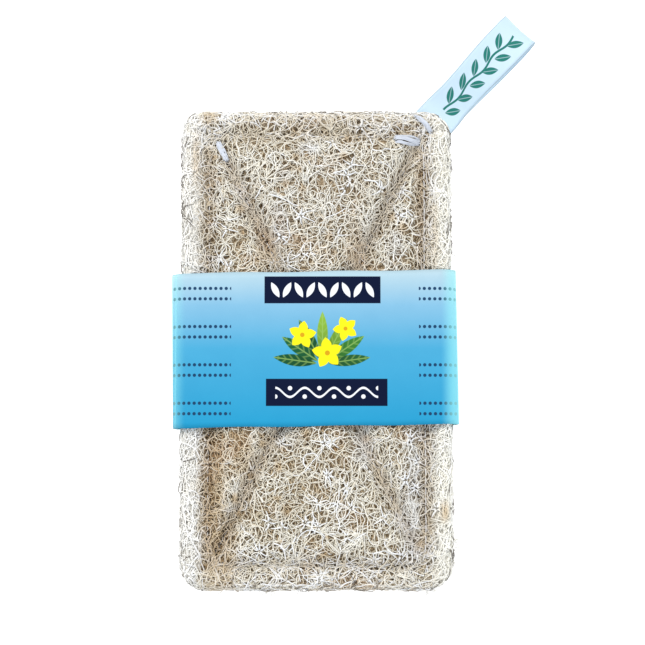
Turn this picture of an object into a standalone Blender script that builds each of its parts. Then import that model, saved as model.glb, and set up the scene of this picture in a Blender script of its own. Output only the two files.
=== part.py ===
"""A loofah dish pad lying on its back: a quilted pad of loofah fibre in a paper sleeve,
with its quilting threads, bar tacks and a folded tape loop to hang it by.

Metres, +Z up. The origin is the middle of the sleeve's flat underside. +Y runs along the
pad towards the loop's end and +X across it. The pad's net of fibres is raised from its
surface larger than life: each cell of a net of seeded points is sunk between its ribs."""

import math
import random

import bmesh
import bpy
from mathutils import Vector, geometry
from mathutils.bvhtree import BVHTree

# Clearance between neighbouring pieces
GAP = 0.0003

# Paper sleeve
BAND_WIDTH = 0.0827
BAND_LENGTH = 0.0445
BAND_HEIGHT = 0.020
BAND_EDGE_RADIUS = 0.0055
BAND_PAPER = 0.0004
BAND_SKEW = math.radians(0.8)
BAND_ARC_STEPS = 7

# Pad outline
PAD_WIDTH = 0.0800
PAD_LENGTH = 0.1403
PAD_TAPER = 0.0005
PAD_CORNER_RADIUS = 0.0080
PAD_OFFSET_X = 0.0004
PAD_OFFSET_Y = 0.0004
MID_HEIGHT = BAND_HEIGHT / 2

# Pad thickness, measured each way from its middle plane
PAD_HALF_IN_BAND = MID_HEIGHT - BAND_PAPER - GAP
PAD_HALF_AT_OUTLINE = 0.0056
PAD_EDGE_ROLL = 0.0070
PUFF_FRONT = 0.0009
PUFF_BACK = 0.0003
SQUEEZE_FROM = BAND_LENGTH / 2 + 0.0050
SQUEEZE_TO = BAND_LENGTH / 2 + 0.0150

# Quilting: a stitched rectangle and a cross from corner to corner in it
SEAM_INSET_SIDE = 0.0088
SEAM_INSET_END = 0.0083
SEAM_HALF_WIDTH = PAD_WIDTH / 2 - SEAM_INSET_SIDE
SEAM_HALF_LENGTH = PAD_LENGTH / 2 - SEAM_INSET_END
SEAM_CORNER_RADIUS = 0.0020
CROSS_SEAMS = {
    "a": (Vector((-0.0300, -0.0614)), Vector((0.0304, 0.0614))),
    "b": (Vector((0.0304, -0.0614)), Vector((-0.0293, 0.0614))),
}
GROOVE_DEPTH = 0.0034
GROOVE_SPREAD = 0.0037

# Raised net
CELLS_ACROSS = 15
CELLS_ALONG = 26
CELLS_HIGH = 2
CELL_JITTER = 0.36
RIB_SHARE = 0.36
RIB_LIFT = 0.0004
CELL_DEPTH = 0.0016
EDGE_CELL_DEPTH = 0.0008
SEAM_STRIP = 0.0014
NET_SEED = 41

# Threads
THREAD_RADIUS = 0.00035
THREAD_STEP = 0.0036
TACK_THICKNESS = 0.0006
TACK_LENGTH = 0.0083
TACK_REACH = 0.0020
CORNER_TACK_WIDTH = 0.0019
LOOP_TACK_WIDTH = 0.0012
FRONT = 1
BACK = -1

# Tape loop
LOOP_WIDTH = 0.0120
LOOP_PLY = 0.0005
LOOP_GAP = 0.0064
LOOP_REACH = 0.0371
LOOP_SEWN_IN = 0.0100
LOOP_PARTING = 0.0020
LOOP_PARTED_SHARE = 0.55
LOOP_ANGLE = math.radians(47.0)
LOOP_ROOT = Vector((0.0359, 0.0687, MID_HEIGHT))


def smooth_step(value, start, end):
    """0 at start and before, 1 at end and after, with level ends."""
    share = min(max((value - start) / (end - start), 0.0), 1.0)
    return share * share * (3.0 - 2.0 * share)


def material(name, colour, roughness):
    """A plain Principled material."""
    made = bpy.data.materials.new(name)
    made.use_nodes = True
    shader = made.node_tree.nodes["Principled BSDF"]
    shader.inputs["Base Color"].default_value = (*colour, 1.0)
    shader.inputs["Roughness"].default_value = roughness
    shader.inputs["Metallic"].default_value = 0.0
    made.diffuse_color = (*colour, 1.0)
    return made


def mesh_object(name, bm, finish=None):
    """Turns a bmesh into an object of the scene with its faces pointing out."""
    bmesh.ops.recalc_face_normals(bm, faces=bm.faces)
    if bm.calc_volume(signed=True) < 0.0:
        bmesh.ops.reverse_faces(bm, faces=bm.faces)
    mesh = bpy.data.meshes.new(name)
    bm.to_mesh(mesh)
    bm.free()
    made = bpy.data.objects.new(name, mesh)
    bpy.context.scene.collection.objects.link(made)
    if finish:
        mesh.materials.append(finish)
    return made


def cut(piece, cutter):
    """Takes cutter out of piece with a Boolean, and hides the cutter."""
    cutter.hide_render = True
    cutter.display_type = "WIRE"
    boolean = piece.modifiers.new("Cut " + cutter.name, "BOOLEAN")
    boolean.operation = "DIFFERENCE"
    boolean.solver = "EXACT"
    boolean.object = cutter


# Pad form
def half_plan(y):
    """Half the pad's width at y: it narrows a little towards the loop's end."""
    return PAD_WIDTH / 2 - PAD_TAPER * y / (PAD_LENGTH / 2)


def round_corner(x, y):
    """Moves a point of the square-cornered plan into the round-cornered one."""
    past_x = abs(x) - (half_plan(y) - PAD_CORNER_RADIUS)
    past_y = abs(y) - (PAD_LENGTH / 2 - PAD_CORNER_RADIUS)
    if past_x <= 0.0 or past_y <= 0.0:
        return x, y
    shrink = max(past_x, past_y) / math.hypot(past_x, past_y)
    x -= math.copysign(past_x * (1.0 - shrink), x)
    y -= math.copysign(past_y * (1.0 - shrink), y)
    return x, y


def distance_inside(x, y):
    """How far a point of the plan lies inside the pad's outline."""
    past_x = abs(x) - (half_plan(y) - PAD_CORNER_RADIUS)
    past_y = abs(y) - (PAD_LENGTH / 2 - PAD_CORNER_RADIUS)
    outside = math.hypot(max(past_x, 0.0), max(past_y, 0.0))
    return PAD_CORNER_RADIUS - outside - min(max(past_x, past_y), 0.0)


def distance_to_seam(x, y):
    """How far a point of the plan lies from the nearest line of quilting."""
    beyond_x = abs(x) - SEAM_HALF_WIDTH
    beyond_y = abs(y) - SEAM_HALF_LENGTH
    if beyond_x > 0.0 or beyond_y > 0.0:
        return math.hypot(max(beyond_x, 0.0), max(beyond_y, 0.0))
    nearest = min(-beyond_x, -beyond_y)
    for start, end in CROSS_SEAMS.values():
        run = (end - start).normalized()
        nearest = min(nearest, abs(run.cross(Vector((x, y)) - start)))
    return nearest


def half_thickness(x, y, side):
    """The pad's thickness from its middle plane up on the front, or down on the back."""
    puff = PUFF_FRONT if side == FRONT else PUFF_BACK
    full = PAD_HALF_IN_BAND + puff * smooth_step(abs(y), SQUEEZE_FROM, SQUEEZE_TO)
    edge = 1.0 - min(max(distance_inside(x, y), 0.0) / PAD_EDGE_ROLL, 1.0)
    rolled = math.sqrt(1.0 - edge * edge)
    groove = GROOVE_DEPTH * math.exp(-((distance_to_seam(x, y) / GROOVE_SPREAD) ** 2))
    inside = PAD_HALF_AT_OUTLINE + (full - PAD_HALF_AT_OUTLINE) * rolled
    return inside - groove * rolled


def pad_point(unit):
    """Places a point of a 2 x 2 x 2 cube's surface on the pad."""
    y = unit.y * PAD_LENGTH / 2
    x, y = round_corner(unit.x * half_plan(y), y)
    side = FRONT if unit.z > 0.0 else BACK
    height = MID_HEIGHT + unit.z * half_thickness(x, y, side)
    return Vector((x + PAD_OFFSET_X, y + PAD_OFFSET_Y, height))


# Raised net
def net_on_cube():
    """A cube whose faces are the irregular cells of a net round seeded points."""
    draw = random.Random(NET_SEED)
    bm = bmesh.new()
    bmesh.ops.create_cube(bm, size=2.0)
    cells = (CELLS_ACROSS, CELLS_ALONG, CELLS_HIGH)
    for axis, count in enumerate(cells):
        along = [e for e in bm.edges if abs(e.verts[0].co[axis] - e.verts[1].co[axis]) > 1.0]
        bmesh.ops.subdivide_edges(bm, edges=along, cuts=count - 1, use_grid_fill=True)
    for vert in bm.verts:
        for axis, count in enumerate(cells):
            if abs(vert.co[axis]) < 0.999:
                vert.co[axis] += draw.uniform(-CELL_JITTER, CELL_JITTER) * 2.0 / count
    bmesh.ops.triangulate(bm, faces=bm.faces[:], quad_method="SHORT_EDGE")
    seeds = bm.verts[:]
    old_edges = bm.edges[:]
    bmesh.ops.poke(bm, faces=bm.faces[:])
    bmesh.ops.rotate_edges(bm, edges=old_edges, use_ccw=False)
    bmesh.ops.dissolve_verts(bm, verts=seeds)
    return bm


def reach_of_cell(face):
    """The distance from a cell's middle to its nearest side."""
    middle = face.calc_center_median()
    reach = math.inf
    for edge in face.edges:
        start = edge.verts[0].co
        run = edge.verts[1].co - start
        share = min(max((middle - start).dot(run) / max(run.length_squared, 1e-12), 0.0), 1.0)
        reach = min(reach, (start + run * share - middle).length)
    return reach


def is_sunk(middle):
    """Whether the cell at middle is sunk: none is under the sleeve, on a seam or at the loop."""
    x = middle.x - PAD_OFFSET_X
    y = middle.y - PAD_OFFSET_Y
    to_root = (middle - LOOP_ROOT).length
    beside_band = abs(y) > BAND_LENGTH / 2 + 0.0030
    return beside_band and distance_to_seam(x, y) > SEAM_STRIP and to_root > LOOP_WIDTH * 0.75


def pad_body(finish):
    """The pad with its raised net and the slit for the tape's ends. Returns its surface."""
    draw = random.Random(NET_SEED + 1)
    bm = net_on_cube()
    for vert in bm.verts:
        vert.co = pad_point(vert.co)
    bm.normal_update()
    for vert in bm.verts:
        clear_of_band = smooth_step(abs(vert.co.y), SQUEEZE_FROM, SQUEEZE_TO)
        seam_share = smooth_step(distance_to_seam(vert.co.x, vert.co.y), SEAM_STRIP, 2 * SEAM_STRIP)
        vert.co.z += vert.normal.z * draw.uniform(-RIB_LIFT, 0.0) * clear_of_band * seam_share
    for face in [f for f in bm.faces if is_sunk(f.calc_center_median())]:
        middle = face.calc_center_median()
        inside = distance_inside(middle.x - PAD_OFFSET_X, middle.y - PAD_OFFSET_Y)
        share = smooth_step(inside, 0.0, PAD_EDGE_ROLL)
        depth = EDGE_CELL_DEPTH + (CELL_DEPTH - EDGE_CELL_DEPTH) * share
        thickness = RIB_SHARE * reach_of_cell(face) * draw.uniform(0.8, 1.1)
        depth *= draw.uniform(0.7, 1.0)
        bmesh.ops.inset_individual(bm, faces=[face], thickness=thickness, depth=-depth)
    bmesh.ops.triangulate(bm, faces=bm.faces[:], quad_method="SHORT_EDGE")
    surface = BVHTree.FromBMesh(bm)
    cut(mesh_object("loofah_pad", bm, finish), loop_slit())
    return surface


# Paper sleeve
def paper_band(finish):
    """The sleeve: a strip of paper round the pad, as a ring with rounded edges."""
    bm = bmesh.new()
    half_flat = BAND_WIDTH / 2 - BAND_EDGE_RADIUS
    half_rise = BAND_HEIGHT / 2 - BAND_EDGE_RADIUS
    ring = []
    for corner in range(4):
        sign_x, sign_z = ((1, -1), (1, 1), (-1, 1), (-1, -1))[corner]
        for step in range(BAND_ARC_STEPS + 1):
            turn = math.radians(90.0) * (corner - 1 + step / BAND_ARC_STEPS)
            x = sign_x * half_flat + BAND_EDGE_RADIUS * math.cos(turn)
            z = sign_z * half_rise + BAND_EDGE_RADIUS * math.sin(turn)
            ring.append(bm.verts.new((x, -BAND_LENGTH / 2, MID_HEIGHT + z)))
    edges = [bm.edges.new((a, b)) for a, b in zip(ring, ring[1:] + ring[:1])]
    grown = bmesh.ops.extrude_edge_only(bm, edges=edges)["geom"]
    far = [part for part in grown if isinstance(part, bmesh.types.BMVert)]
    bmesh.ops.translate(bm, verts=far, vec=(0.0, BAND_LENGTH, 0.0))
    band = mesh_object("paper_band", bm, finish)
    wall = band.modifiers.new("Paper", "SOLIDIFY")
    wall.thickness = BAND_PAPER
    wall.offset = -1.0
    wall.use_even_offset = True
    band.rotation_euler.z = BAND_SKEW


# Tape loop
def tape_outline(inset):
    """The folded tape seen from its side, (reach, height) points, inset from its outer face."""
    root = LOOP_PLY - inset
    radius = LOOP_GAP / 2 + LOOP_PLY - inset
    fold = LOOP_REACH - LOOP_GAP / 2 - LOOP_PLY
    steps = 10
    side = []
    for step in range(steps):
        share = step / steps
        reach = LOOP_PARTING + (fold - LOOP_PARTING) * share
        parted = smooth_step(share, 0.0, LOOP_PARTED_SHARE)
        side.append((reach, root + (radius - root) * parted))
    bend = []
    for step in range(steps + 1):
        turn = math.radians(90.0 - 180.0 * step / steps)
        bend.append((fold + radius * math.cos(turn), radius * math.sin(turn)))
    back = [(reach, -height) for reach, height in reversed(side) if height > 0.0]
    return side + bend + back


def extruded(name, outline, width, finish=None):
    """A solid with this side outline in X and Z and this width along Y."""
    bm = bmesh.new()
    face = bm.faces.new([bm.verts.new((x, -width / 2, z)) for x, z in outline])
    grown = bmesh.ops.extrude_face_region(bm, geom=[face])["geom"]
    far = [part for part in grown if isinstance(part, bmesh.types.BMVert)]
    bmesh.ops.translate(bm, verts=far, vec=(0.0, width, 0.0))
    return mesh_object(name, bm, finish)


def place_at_root(piece):
    """Turns a piece that lies along +X to run out of the pad's corner."""
    piece.rotation_euler.z = LOOP_ANGLE
    piece.location = LOOP_ROOT


def hanging_loop(finish):
    """The tape: its two plies are sewn flat in the pad and part outside it."""
    outer = tape_outline(0.0)
    tail = [(-LOOP_SEWN_IN, -LOOP_PLY), (-LOOP_SEWN_IN, LOOP_PLY)]
    loop = extruded("hanging_loop", tail + outer, LOOP_WIDTH, finish)
    eye = extruded("loop_eye", tape_outline(LOOP_PLY), LOOP_WIDTH * 1.5)
    for piece in (loop, eye):
        place_at_root(piece)
    cut(loop, eye)


def loop_slit():
    """The slit in the pad's corner round the tape's sewn ends."""
    half = LOOP_PLY + GAP
    back = -LOOP_SEWN_IN - GAP
    front = PAD_CORNER_RADIUS
    outline = [(back, -half), (back, half), (front, half), (front, -half)]
    slit = extruded("loop_slit", outline, LOOP_WIDTH + 2 * GAP)
    place_at_root(slit)
    return slit


# Threads and tacks
def height_over(surface, x, y, side):
    """The pad surface's height at a point of the plan, seen from the front or the back."""
    start = Vector((x, y, MID_HEIGHT + side * PAD_WIDTH))
    hit = surface.ray_cast(start, Vector((0.0, 0.0, -side)))[0]
    return hit.z if hit else MID_HEIGHT


def outermost(surface, at, along, reach, half_width, side):
    """The furthest height of the pad within reach of a point along a line and half_width across."""
    across = Vector((-along.y, along.x))
    steps = range(-4, 5)
    heights = []
    for step in steps:
        for share in (-1.0, -0.5, 0.0, 0.5, 1.0):
            spot = at + along * (reach * step / 4) + across * (half_width * share)
            heights.append(height_over(surface, spot.x, spot.y, side))
    return max(heights) if side == FRONT else min(heights)


def thread(name, plan, surface, side, finish, closed=False, humps=()):
    """A thread laid on the pad along a plan of points; humps are the points it passes over."""
    curve = bpy.data.curves.new(name, "CURVE")
    curve.dimensions = "3D"
    curve.bevel_depth = THREAD_RADIUS
    curve.bevel_resolution = 0
    curve.use_fill_caps = not closed
    spline = curve.splines.new("POLY")
    spline.points.add(len(plan) - 1)
    spline.use_cyclic_u = closed
    lift = THREAD_RADIUS * 1.1 + GAP
    for index, point in enumerate(plan):
        before = plan[index - 1] if index or closed else point
        after = plan[(index + 1) % len(plan)] if index + 1 < len(plan) or closed else point
        along = (after - before).normalized()
        reach = THREAD_STEP * 0.62
        far = outermost(surface, point, along, reach, THREAD_RADIUS * 1.4, side)
        height = far + side * lift
        for hump in humps:
            share = 1.0 - smooth_step((point - hump).length, THREAD_STEP, 3 * THREAD_STEP)
            height += side * share * (2 * THREAD_RADIUS + GAP)
        spline.points[index].co = (point.x, point.y, height, 1.0)
    made = bpy.data.objects.new(name, curve)
    bpy.context.scene.collection.objects.link(made)
    curve.materials.append(finish)


def line_plan(start, end):
    """Evenly spaced plan points from start to end."""
    count = round((end - start).length / THREAD_STEP)
    return [start.lerp(end, step / count) for step in range(count + 1)]


def border_plan():
    """Plan points round the stitched rectangle, which has small round corners."""
    radius = SEAM_CORNER_RADIUS
    across = SEAM_HALF_WIDTH - radius
    along = SEAM_HALF_LENGTH - radius
    plan = []
    for corner in range(4):
        sign_x, sign_y = ((1, -1), (1, 1), (-1, 1), (-1, -1))[corner]
        next_x, next_y = ((1, 1), (-1, 1), (-1, -1), (1, -1))[corner]
        turn = math.radians(90.0) * (corner - 1)
        for share in (0.0, 0.5, 1.0):
            angle = turn + math.radians(90.0) * share
            x = sign_x * across + radius * math.cos(angle)
            y = sign_y * along + radius * math.sin(angle)
            plan.append(Vector((x, y)))
        angle = turn + math.radians(90.0)
        away = Vector((math.cos(angle), math.sin(angle))) * radius
        goal = Vector((next_x * across, next_y * along)) + away
        plan.extend(line_plan(plan[-1], goal)[1:-1])
    return [point + Vector((PAD_OFFSET_X, PAD_OFFSET_Y)) for point in plan]


def quilting(surface, side, finish):
    """The threads of one face: the stitched rectangle and its two diagonals."""
    face = "front" if side == FRONT else "back"
    thread(f"border_thread_{face}", border_plan(), surface, side, finish, closed=True)
    offset = Vector((PAD_OFFSET_X, PAD_OFFSET_Y))
    crossing = geometry.intersect_line_line_2d(*CROSS_SEAMS["a"], *CROSS_SEAMS["b"])
    for letter, (start, end) in CROSS_SEAMS.items():
        shorten = (end - start).normalized() * THREAD_STEP / 3
        plan = line_plan(start + shorten + offset, end - shorten + offset)
        humps = (crossing + offset,) if letter == "b" else ()
        thread(f"cross_thread_{letter}_{face}", plan, surface, side, finish, humps=humps)


def tack(name, line, width, clear, surface, side, finish):
    """A dense bar of stitches draped along a bent line, this far clear of the pad's net."""
    start, bend, end = line
    bm = bmesh.new()
    bmesh.ops.create_cube(bm, size=1.0)
    for axis, cuts in ((0, 6), (1, 1)):
        along = [e for e in bm.edges if abs(e.verts[0].co[axis] - e.verts[1].co[axis]) > 0.5]
        bmesh.ops.subdivide_edges(bm, edges=along, cuts=cuts, use_grid_fill=True)
    for vert in bm.verts:
        share = vert.co.x + 0.5
        at = start.lerp(bend, share).lerp(bend.lerp(end, share), share)
        along = (bend - start).lerp(end - bend, share).normalized()
        across = Vector((-along.y, along.x))
        narrowed = 1.0 - 0.5 * (2.0 * share - 1.0) ** 4
        spot = at + across * (vert.co.y * width * narrowed)
        far = outermost(surface, at, along, TACK_REACH, width * 0.6, side)
        lift = clear + (TACK_THICKNESS if vert.co.z > 0.0 else 0.0)
        vert.co = (spot.x, spot.y, far + side * lift)
    mesh_object(name, bm, finish)


def tacks(surface, side, finish):
    """The bars of stitches that end the seams, and the bowed one that holds the tape."""
    face = "front" if side == FRONT else "back"
    offset = Vector((PAD_OFFSET_X, PAD_OFFSET_Y))
    lower, upper = CROSS_SEAMS["b"]
    left_start = upper + offset
    left_end = left_start + (lower - upper).normalized() * TACK_LENGTH
    left = (left_start, left_start.lerp(left_end, 0.5), left_end)
    right_end = Vector((SEAM_HALF_WIDTH - SEAM_CORNER_RADIUS, SEAM_HALF_LENGTH)) + offset
    right_start = right_end - Vector((TACK_LENGTH, 0.0))
    right = (right_start, right_start.lerp(right_end, 0.5), right_end)
    tape = (Vector((0.0289, 0.0672)), Vector((0.0342, 0.0665)), Vector((0.0350, 0.0622)))
    over_thread = 2.2 * THREAD_RADIUS + 2 * GAP
    tack(f"corner_tack_left_{face}", left, CORNER_TACK_WIDTH, over_thread, surface, side, finish)
    tack(f"corner_tack_right_{face}", right, CORNER_TACK_WIDTH, over_thread, surface, side, finish)
    tack(f"loop_tack_{face}", tape, LOOP_TACK_WIDTH, GAP, surface, side, finish)


def main():
    for old in list(bpy.data.objects):
        bpy.data.objects.remove(old, do_unlink=True)
    fibre = material("loofah_fibre", (0.80, 0.70, 0.52), 0.85)
    paper = material("sleeve_paper", (0.33, 0.64, 0.86), 0.35)
    tape = material("loop_tape", (0.72, 0.84, 0.92), 0.60)
    cotton = material("sewing_thread", (0.78, 0.82, 0.92), 0.70)
    surface = pad_body(fibre)
    paper_band(paper)
    hanging_loop(tape)
    for side in (FRONT, BACK):
        quilting(surface, side, cotton)
        tacks(surface, side, cotton)


main()
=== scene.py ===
"""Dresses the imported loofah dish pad: its mat of loofah fibres, the seams and bars of stitches,
the printed paper sleeve and the folded hanging tape, seen from above on a white table."""

import math
import random

import bmesh
import bpy
import numpy as np
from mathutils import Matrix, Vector, noise
from mathutils.bvhtree import BVHTree
from mathutils.kdtree import KDTree


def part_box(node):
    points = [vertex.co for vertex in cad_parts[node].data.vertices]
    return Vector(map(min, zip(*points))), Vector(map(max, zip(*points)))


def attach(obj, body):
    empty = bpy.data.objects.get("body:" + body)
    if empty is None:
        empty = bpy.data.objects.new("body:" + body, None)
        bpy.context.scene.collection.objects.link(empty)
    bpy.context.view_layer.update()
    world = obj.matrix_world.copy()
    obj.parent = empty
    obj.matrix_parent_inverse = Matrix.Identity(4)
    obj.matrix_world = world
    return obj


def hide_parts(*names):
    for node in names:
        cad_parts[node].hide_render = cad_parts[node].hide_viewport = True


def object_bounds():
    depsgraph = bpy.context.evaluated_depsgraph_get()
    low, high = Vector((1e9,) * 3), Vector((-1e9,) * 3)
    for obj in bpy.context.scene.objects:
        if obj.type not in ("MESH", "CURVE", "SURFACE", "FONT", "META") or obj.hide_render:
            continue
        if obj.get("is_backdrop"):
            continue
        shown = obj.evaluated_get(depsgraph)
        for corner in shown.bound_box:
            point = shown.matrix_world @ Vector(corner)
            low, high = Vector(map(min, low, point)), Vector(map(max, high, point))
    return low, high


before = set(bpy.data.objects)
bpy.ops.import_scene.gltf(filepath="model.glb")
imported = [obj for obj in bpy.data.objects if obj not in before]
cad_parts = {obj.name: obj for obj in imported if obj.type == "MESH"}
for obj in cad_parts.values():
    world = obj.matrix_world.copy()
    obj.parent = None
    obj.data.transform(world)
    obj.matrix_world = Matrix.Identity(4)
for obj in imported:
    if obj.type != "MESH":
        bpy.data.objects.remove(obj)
CAD_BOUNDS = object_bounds()

# The noise starts from a number, so that every run gives the same net
noise.seed_set(5)

# Pad form, as in the part's source
PAD_LOW, PAD_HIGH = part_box("loofah_pad")
_, BAND_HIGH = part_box("paper_band")
FIBRE_STAND = 0.00095
PAD_WIDTH = 0.0800 - 2 * FIBRE_STAND
PAD_LENGTH = PAD_HIGH[1] - PAD_LOW[1] - 2 * FIBRE_STAND
PAD_CORNER_RADIUS = 0.0075
PAD_SQUARE_CORNER_RADIUS = 0.0052
PAD_OFFSET_X = 0.0004
PAD_OFFSET_Y = (PAD_HIGH[1] + PAD_LOW[1]) / 2
OFFSET = Vector((PAD_OFFSET_X, PAD_OFFSET_Y))
MID_HEIGHT = BAND_HIGH[2] / 2
PAD_HALF_IN_BAND = MID_HEIGHT - 0.0007
PAD_HALF_AT_OUTLINE = 0.0056
PAD_EDGE_ROLL = 0.0070
PUFF_FRONT = 0.0009
PUFF_BACK = 0.0003
BAND_LENGTH = 0.0445
SQUEEZE_FROM = BAND_LENGTH / 2 + 0.0050
SQUEEZE_TO = BAND_LENGTH / 2 + 0.0150
SEAM_HALF_WIDTH = 0.0312
SEAM_HALF_LENGTH = 0.06185
SEAM_CORNER_RADIUS = 0.0020
GROOVE_DEPTH = 0.0034
GROOVE_SPREAD = 0.0037
GROOVE_END_EASE = 0.0018
CREASE_DEPTH = 0.0011
CREASE_SPREAD = 0.0017
CREASE_FROM = BAND_LENGTH / 2 - 0.0020
CREASE_TO = BAND_LENGTH / 2 + 0.0120
BAND_COVER = 0.0025
GAPE_REACH = 0.0070
GAPE_SPREAD = 0.0030
CROSS_SEAMS = (
    (Vector((-0.0300, -0.0614)), Vector((0.0304, 0.0614))),
    (Vector((0.0304, -0.0614)), Vector((-0.0293, 0.0614))),
)
FRONT = 1
BACK = -1
UP = Vector((0.0, 0.0, 1.0))

# Sleeve
BAND_WIDTH = 0.0827
BAND_HEIGHT = BAND_HIGH[2]
BAND_EDGE_RADIUS = 0.0055
BAND_SKEW = math.radians(0.8)
PANEL_UP = (0.0022, 0.0169)
PANEL_LOW = (0.0034, -0.0126)
NOSEGAY_FOOT = (0.0022, -0.0045)
ROWS_MIDDLE = 0.0158
ROWS_PITCH = 0.0110
PAPER = 0.00025

# Tape loop
TAPE_WIDTH = 0.0120
TAPE_THICKNESS = 0.00035
TAPE_GAP = 0.0064
TAPE_REACH = 0.0371
TAPE_SEWN_IN = 0.0095
TAPE_PARTING = 0.0020
TAPE_PARTED_SHARE = 0.55
TAPE_ANGLE = math.radians(47.0)
TAPE_ROLL = math.radians(30.0)
TAPE_ROOT = Vector((0.0359, 0.0687, MID_HEIGHT))
UV_SIZE = 0.1

# Camera, at the photograph's viewing angle
CAMERA_AIM = Vector((0.0022, 0.0079, 0.0150))
CAMERA_DISTANCE = 0.450
CAMERA_TILT = math.radians(5.0)
CAMERA_LENS = 86.46


def smooth_step(value, start, end):
    """0 at start and before, 1 at end and after, with level ends."""
    share = min(max((value - start) / (end - start), 0.0), 1.0)
    return share * share * (3.0 - 2.0 * share)


# Pad form
def corner_radius(x, y):
    """The radius of the pad's corner nearest to a point: the upper left one is squarer."""
    return PAD_SQUARE_CORNER_RADIUS if x < 0.0 < y else PAD_CORNER_RADIUS


def round_corner(x, y):
    """Moves a point of the square-cornered plan into the round-cornered one."""
    past_x = abs(x) - (PAD_WIDTH / 2 - corner_radius(x, y))
    past_y = abs(y) - (PAD_LENGTH / 2 - corner_radius(x, y))
    if past_x <= 0.0 or past_y <= 0.0:
        return x, y
    shrink = max(past_x, past_y) / math.hypot(past_x, past_y)
    x -= math.copysign(past_x * (1.0 - shrink), x)
    y -= math.copysign(past_y * (1.0 - shrink), y)
    return x, y


def distance_inside(x, y):
    """How far a point of the plan lies inside the pad's outline."""
    radius = corner_radius(x, y)
    past_x = abs(x) - (PAD_WIDTH / 2 - radius)
    past_y = abs(y) - (PAD_LENGTH / 2 - radius)
    outside = math.hypot(max(past_x, 0.0), max(past_y, 0.0))
    return radius - outside - min(max(past_x, past_y), 0.0)


def distance_to_seam(x, y):
    """How far a point of the plan lies from the nearest line of quilting."""
    beyond_x = abs(x) - SEAM_HALF_WIDTH
    beyond_y = abs(y) - SEAM_HALF_LENGTH
    if beyond_x > 0.0 or beyond_y > 0.0:
        return math.hypot(max(beyond_x, 0.0), max(beyond_y, 0.0))
    return min(-beyond_x, -beyond_y + GROOVE_END_EASE, distance_to_cross(x, y))


def distance_to_cross(x, y):
    """How far a point of the plan lies from the nearest of the two lines that cross."""
    place = Vector((x, y))
    return min(abs((end - start).normalized().cross(place - start)) for start, end in CROSS_SEAMS)


def half_thickness(x, y, side):
    """The pad's thickness from its middle plane up on the front, or down on the back."""
    puff = PUFF_FRONT if side == FRONT else PUFF_BACK
    full = PAD_HALF_IN_BAND + puff * smooth_step(abs(y), SQUEEZE_FROM, SQUEEZE_TO)
    edge = 1.0 - min(max(distance_inside(x, y), 0.0) / PAD_EDGE_ROLL, 1.0)
    rolled = math.sqrt(1.0 - edge * edge)
    groove = GROOVE_DEPTH * math.exp(-((distance_to_seam(x, y) / GROOVE_SPREAD) ** 2))
    if abs(x) < SEAM_HALF_WIDTH and abs(y) < SEAM_HALF_LENGTH:
        crease = CREASE_DEPTH * smooth_step(abs(y), CREASE_FROM, CREASE_TO)
        groove += crease * math.exp(-((distance_to_cross(x, y) / CREASE_SPREAD) ** 2))
    inside = PAD_HALF_AT_OUTLINE + (full - PAD_HALF_AT_OUTLINE) * rolled
    return inside - groove * rolled


def pad_point(unit):
    """Places a point of a 2 x 2 x 2 cube's surface on the pad."""
    y = unit.y * PAD_LENGTH / 2
    x, y = round_corner(unit.x * PAD_WIDTH / 2, y)
    side = FRONT if unit.z > 0.0 else BACK
    height = MID_HEIGHT + unit.z * half_thickness(x, y, side)
    return Vector((x + PAD_OFFSET_X, y + PAD_OFFSET_Y, height))


def divided_cube(cells):
    """A cube with this many cells along each axis on its faces."""
    bm = bmesh.new()
    bmesh.ops.create_cube(bm, size=2.0)
    for axis, count in enumerate(cells):
        along = [e for e in bm.edges if abs(e.verts[0].co[axis] - e.verts[1].co[axis]) > 1.0]
        bmesh.ops.subdivide_edges(bm, edges=along, cuts=count - 1, use_grid_fill=True)
    return bm


def under_band(point, cover=BAND_COVER):
    """Whether the sleeve hides a point of the pad, this far inside its edges and further where
    the grooves gape under it."""
    gap = distance_to_seam(point.x - PAD_OFFSET_X, point.y - PAD_OFFSET_Y)
    gape = GAPE_REACH * math.exp(-((gap / GAPE_SPREAD) ** 2))
    return abs(point.y) < BAND_LENGTH / 2 - cover - gape


def is_front(point, normal):
    """Whether a point of the pad's surface belongs to the front face."""
    return point.z > MID_HEIGHT and normal.z > 0.25


# Nodes of materials
def new_material(name, roughness=0.5, specular=0.5):
    """A material with its Principled shader and its nodes."""
    made = bpy.data.materials.new(name)
    made.use_nodes = True
    shader = made.node_tree.nodes["Principled BSDF"]
    shader.inputs["Roughness"].default_value = roughness
    shader.inputs["Specular IOR Level"].default_value = specular
    return made, shader, made.node_tree


def give(tree, socket, value):
    """Links a socket from another one, or sets it to a number or a colour."""
    if isinstance(value, bpy.types.NodeSocket):
        tree.links.new(value, socket)
    elif socket.type == "RGBA":
        socket.default_value = (*value, 1.0)
    else:
        socket.default_value = value


def node(tree, kind, **values):
    """A node whose settings and sockets get these values, or links where they are sockets."""
    made = tree.nodes.new(kind)
    for key, value in values.items():
        if hasattr(made, key):
            setattr(made, key, value)
        else:
            give(tree, made.inputs[key.replace("_", " ")], value)
    return made


def math_node(tree, operation, first, second=0.0, third=0.0):
    """A Math node on values or sockets. Returns its output."""
    made = node(tree, "ShaderNodeMath", operation=operation)
    for socket, value in zip(made.inputs, (first, second, third)):
        give(tree, socket, value)
    return made.outputs[0]


def times(tree, first, second):
    """The product of two values or sockets."""
    return math_node(tree, "MULTIPLY", first, second)


def minus(tree, first, second):
    """The second taken from the first."""
    return math_node(tree, "SUBTRACT", first, second)


def positive(tree, value):
    """A value without its sign."""
    return math_node(tree, "ABSOLUTE", value)


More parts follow.
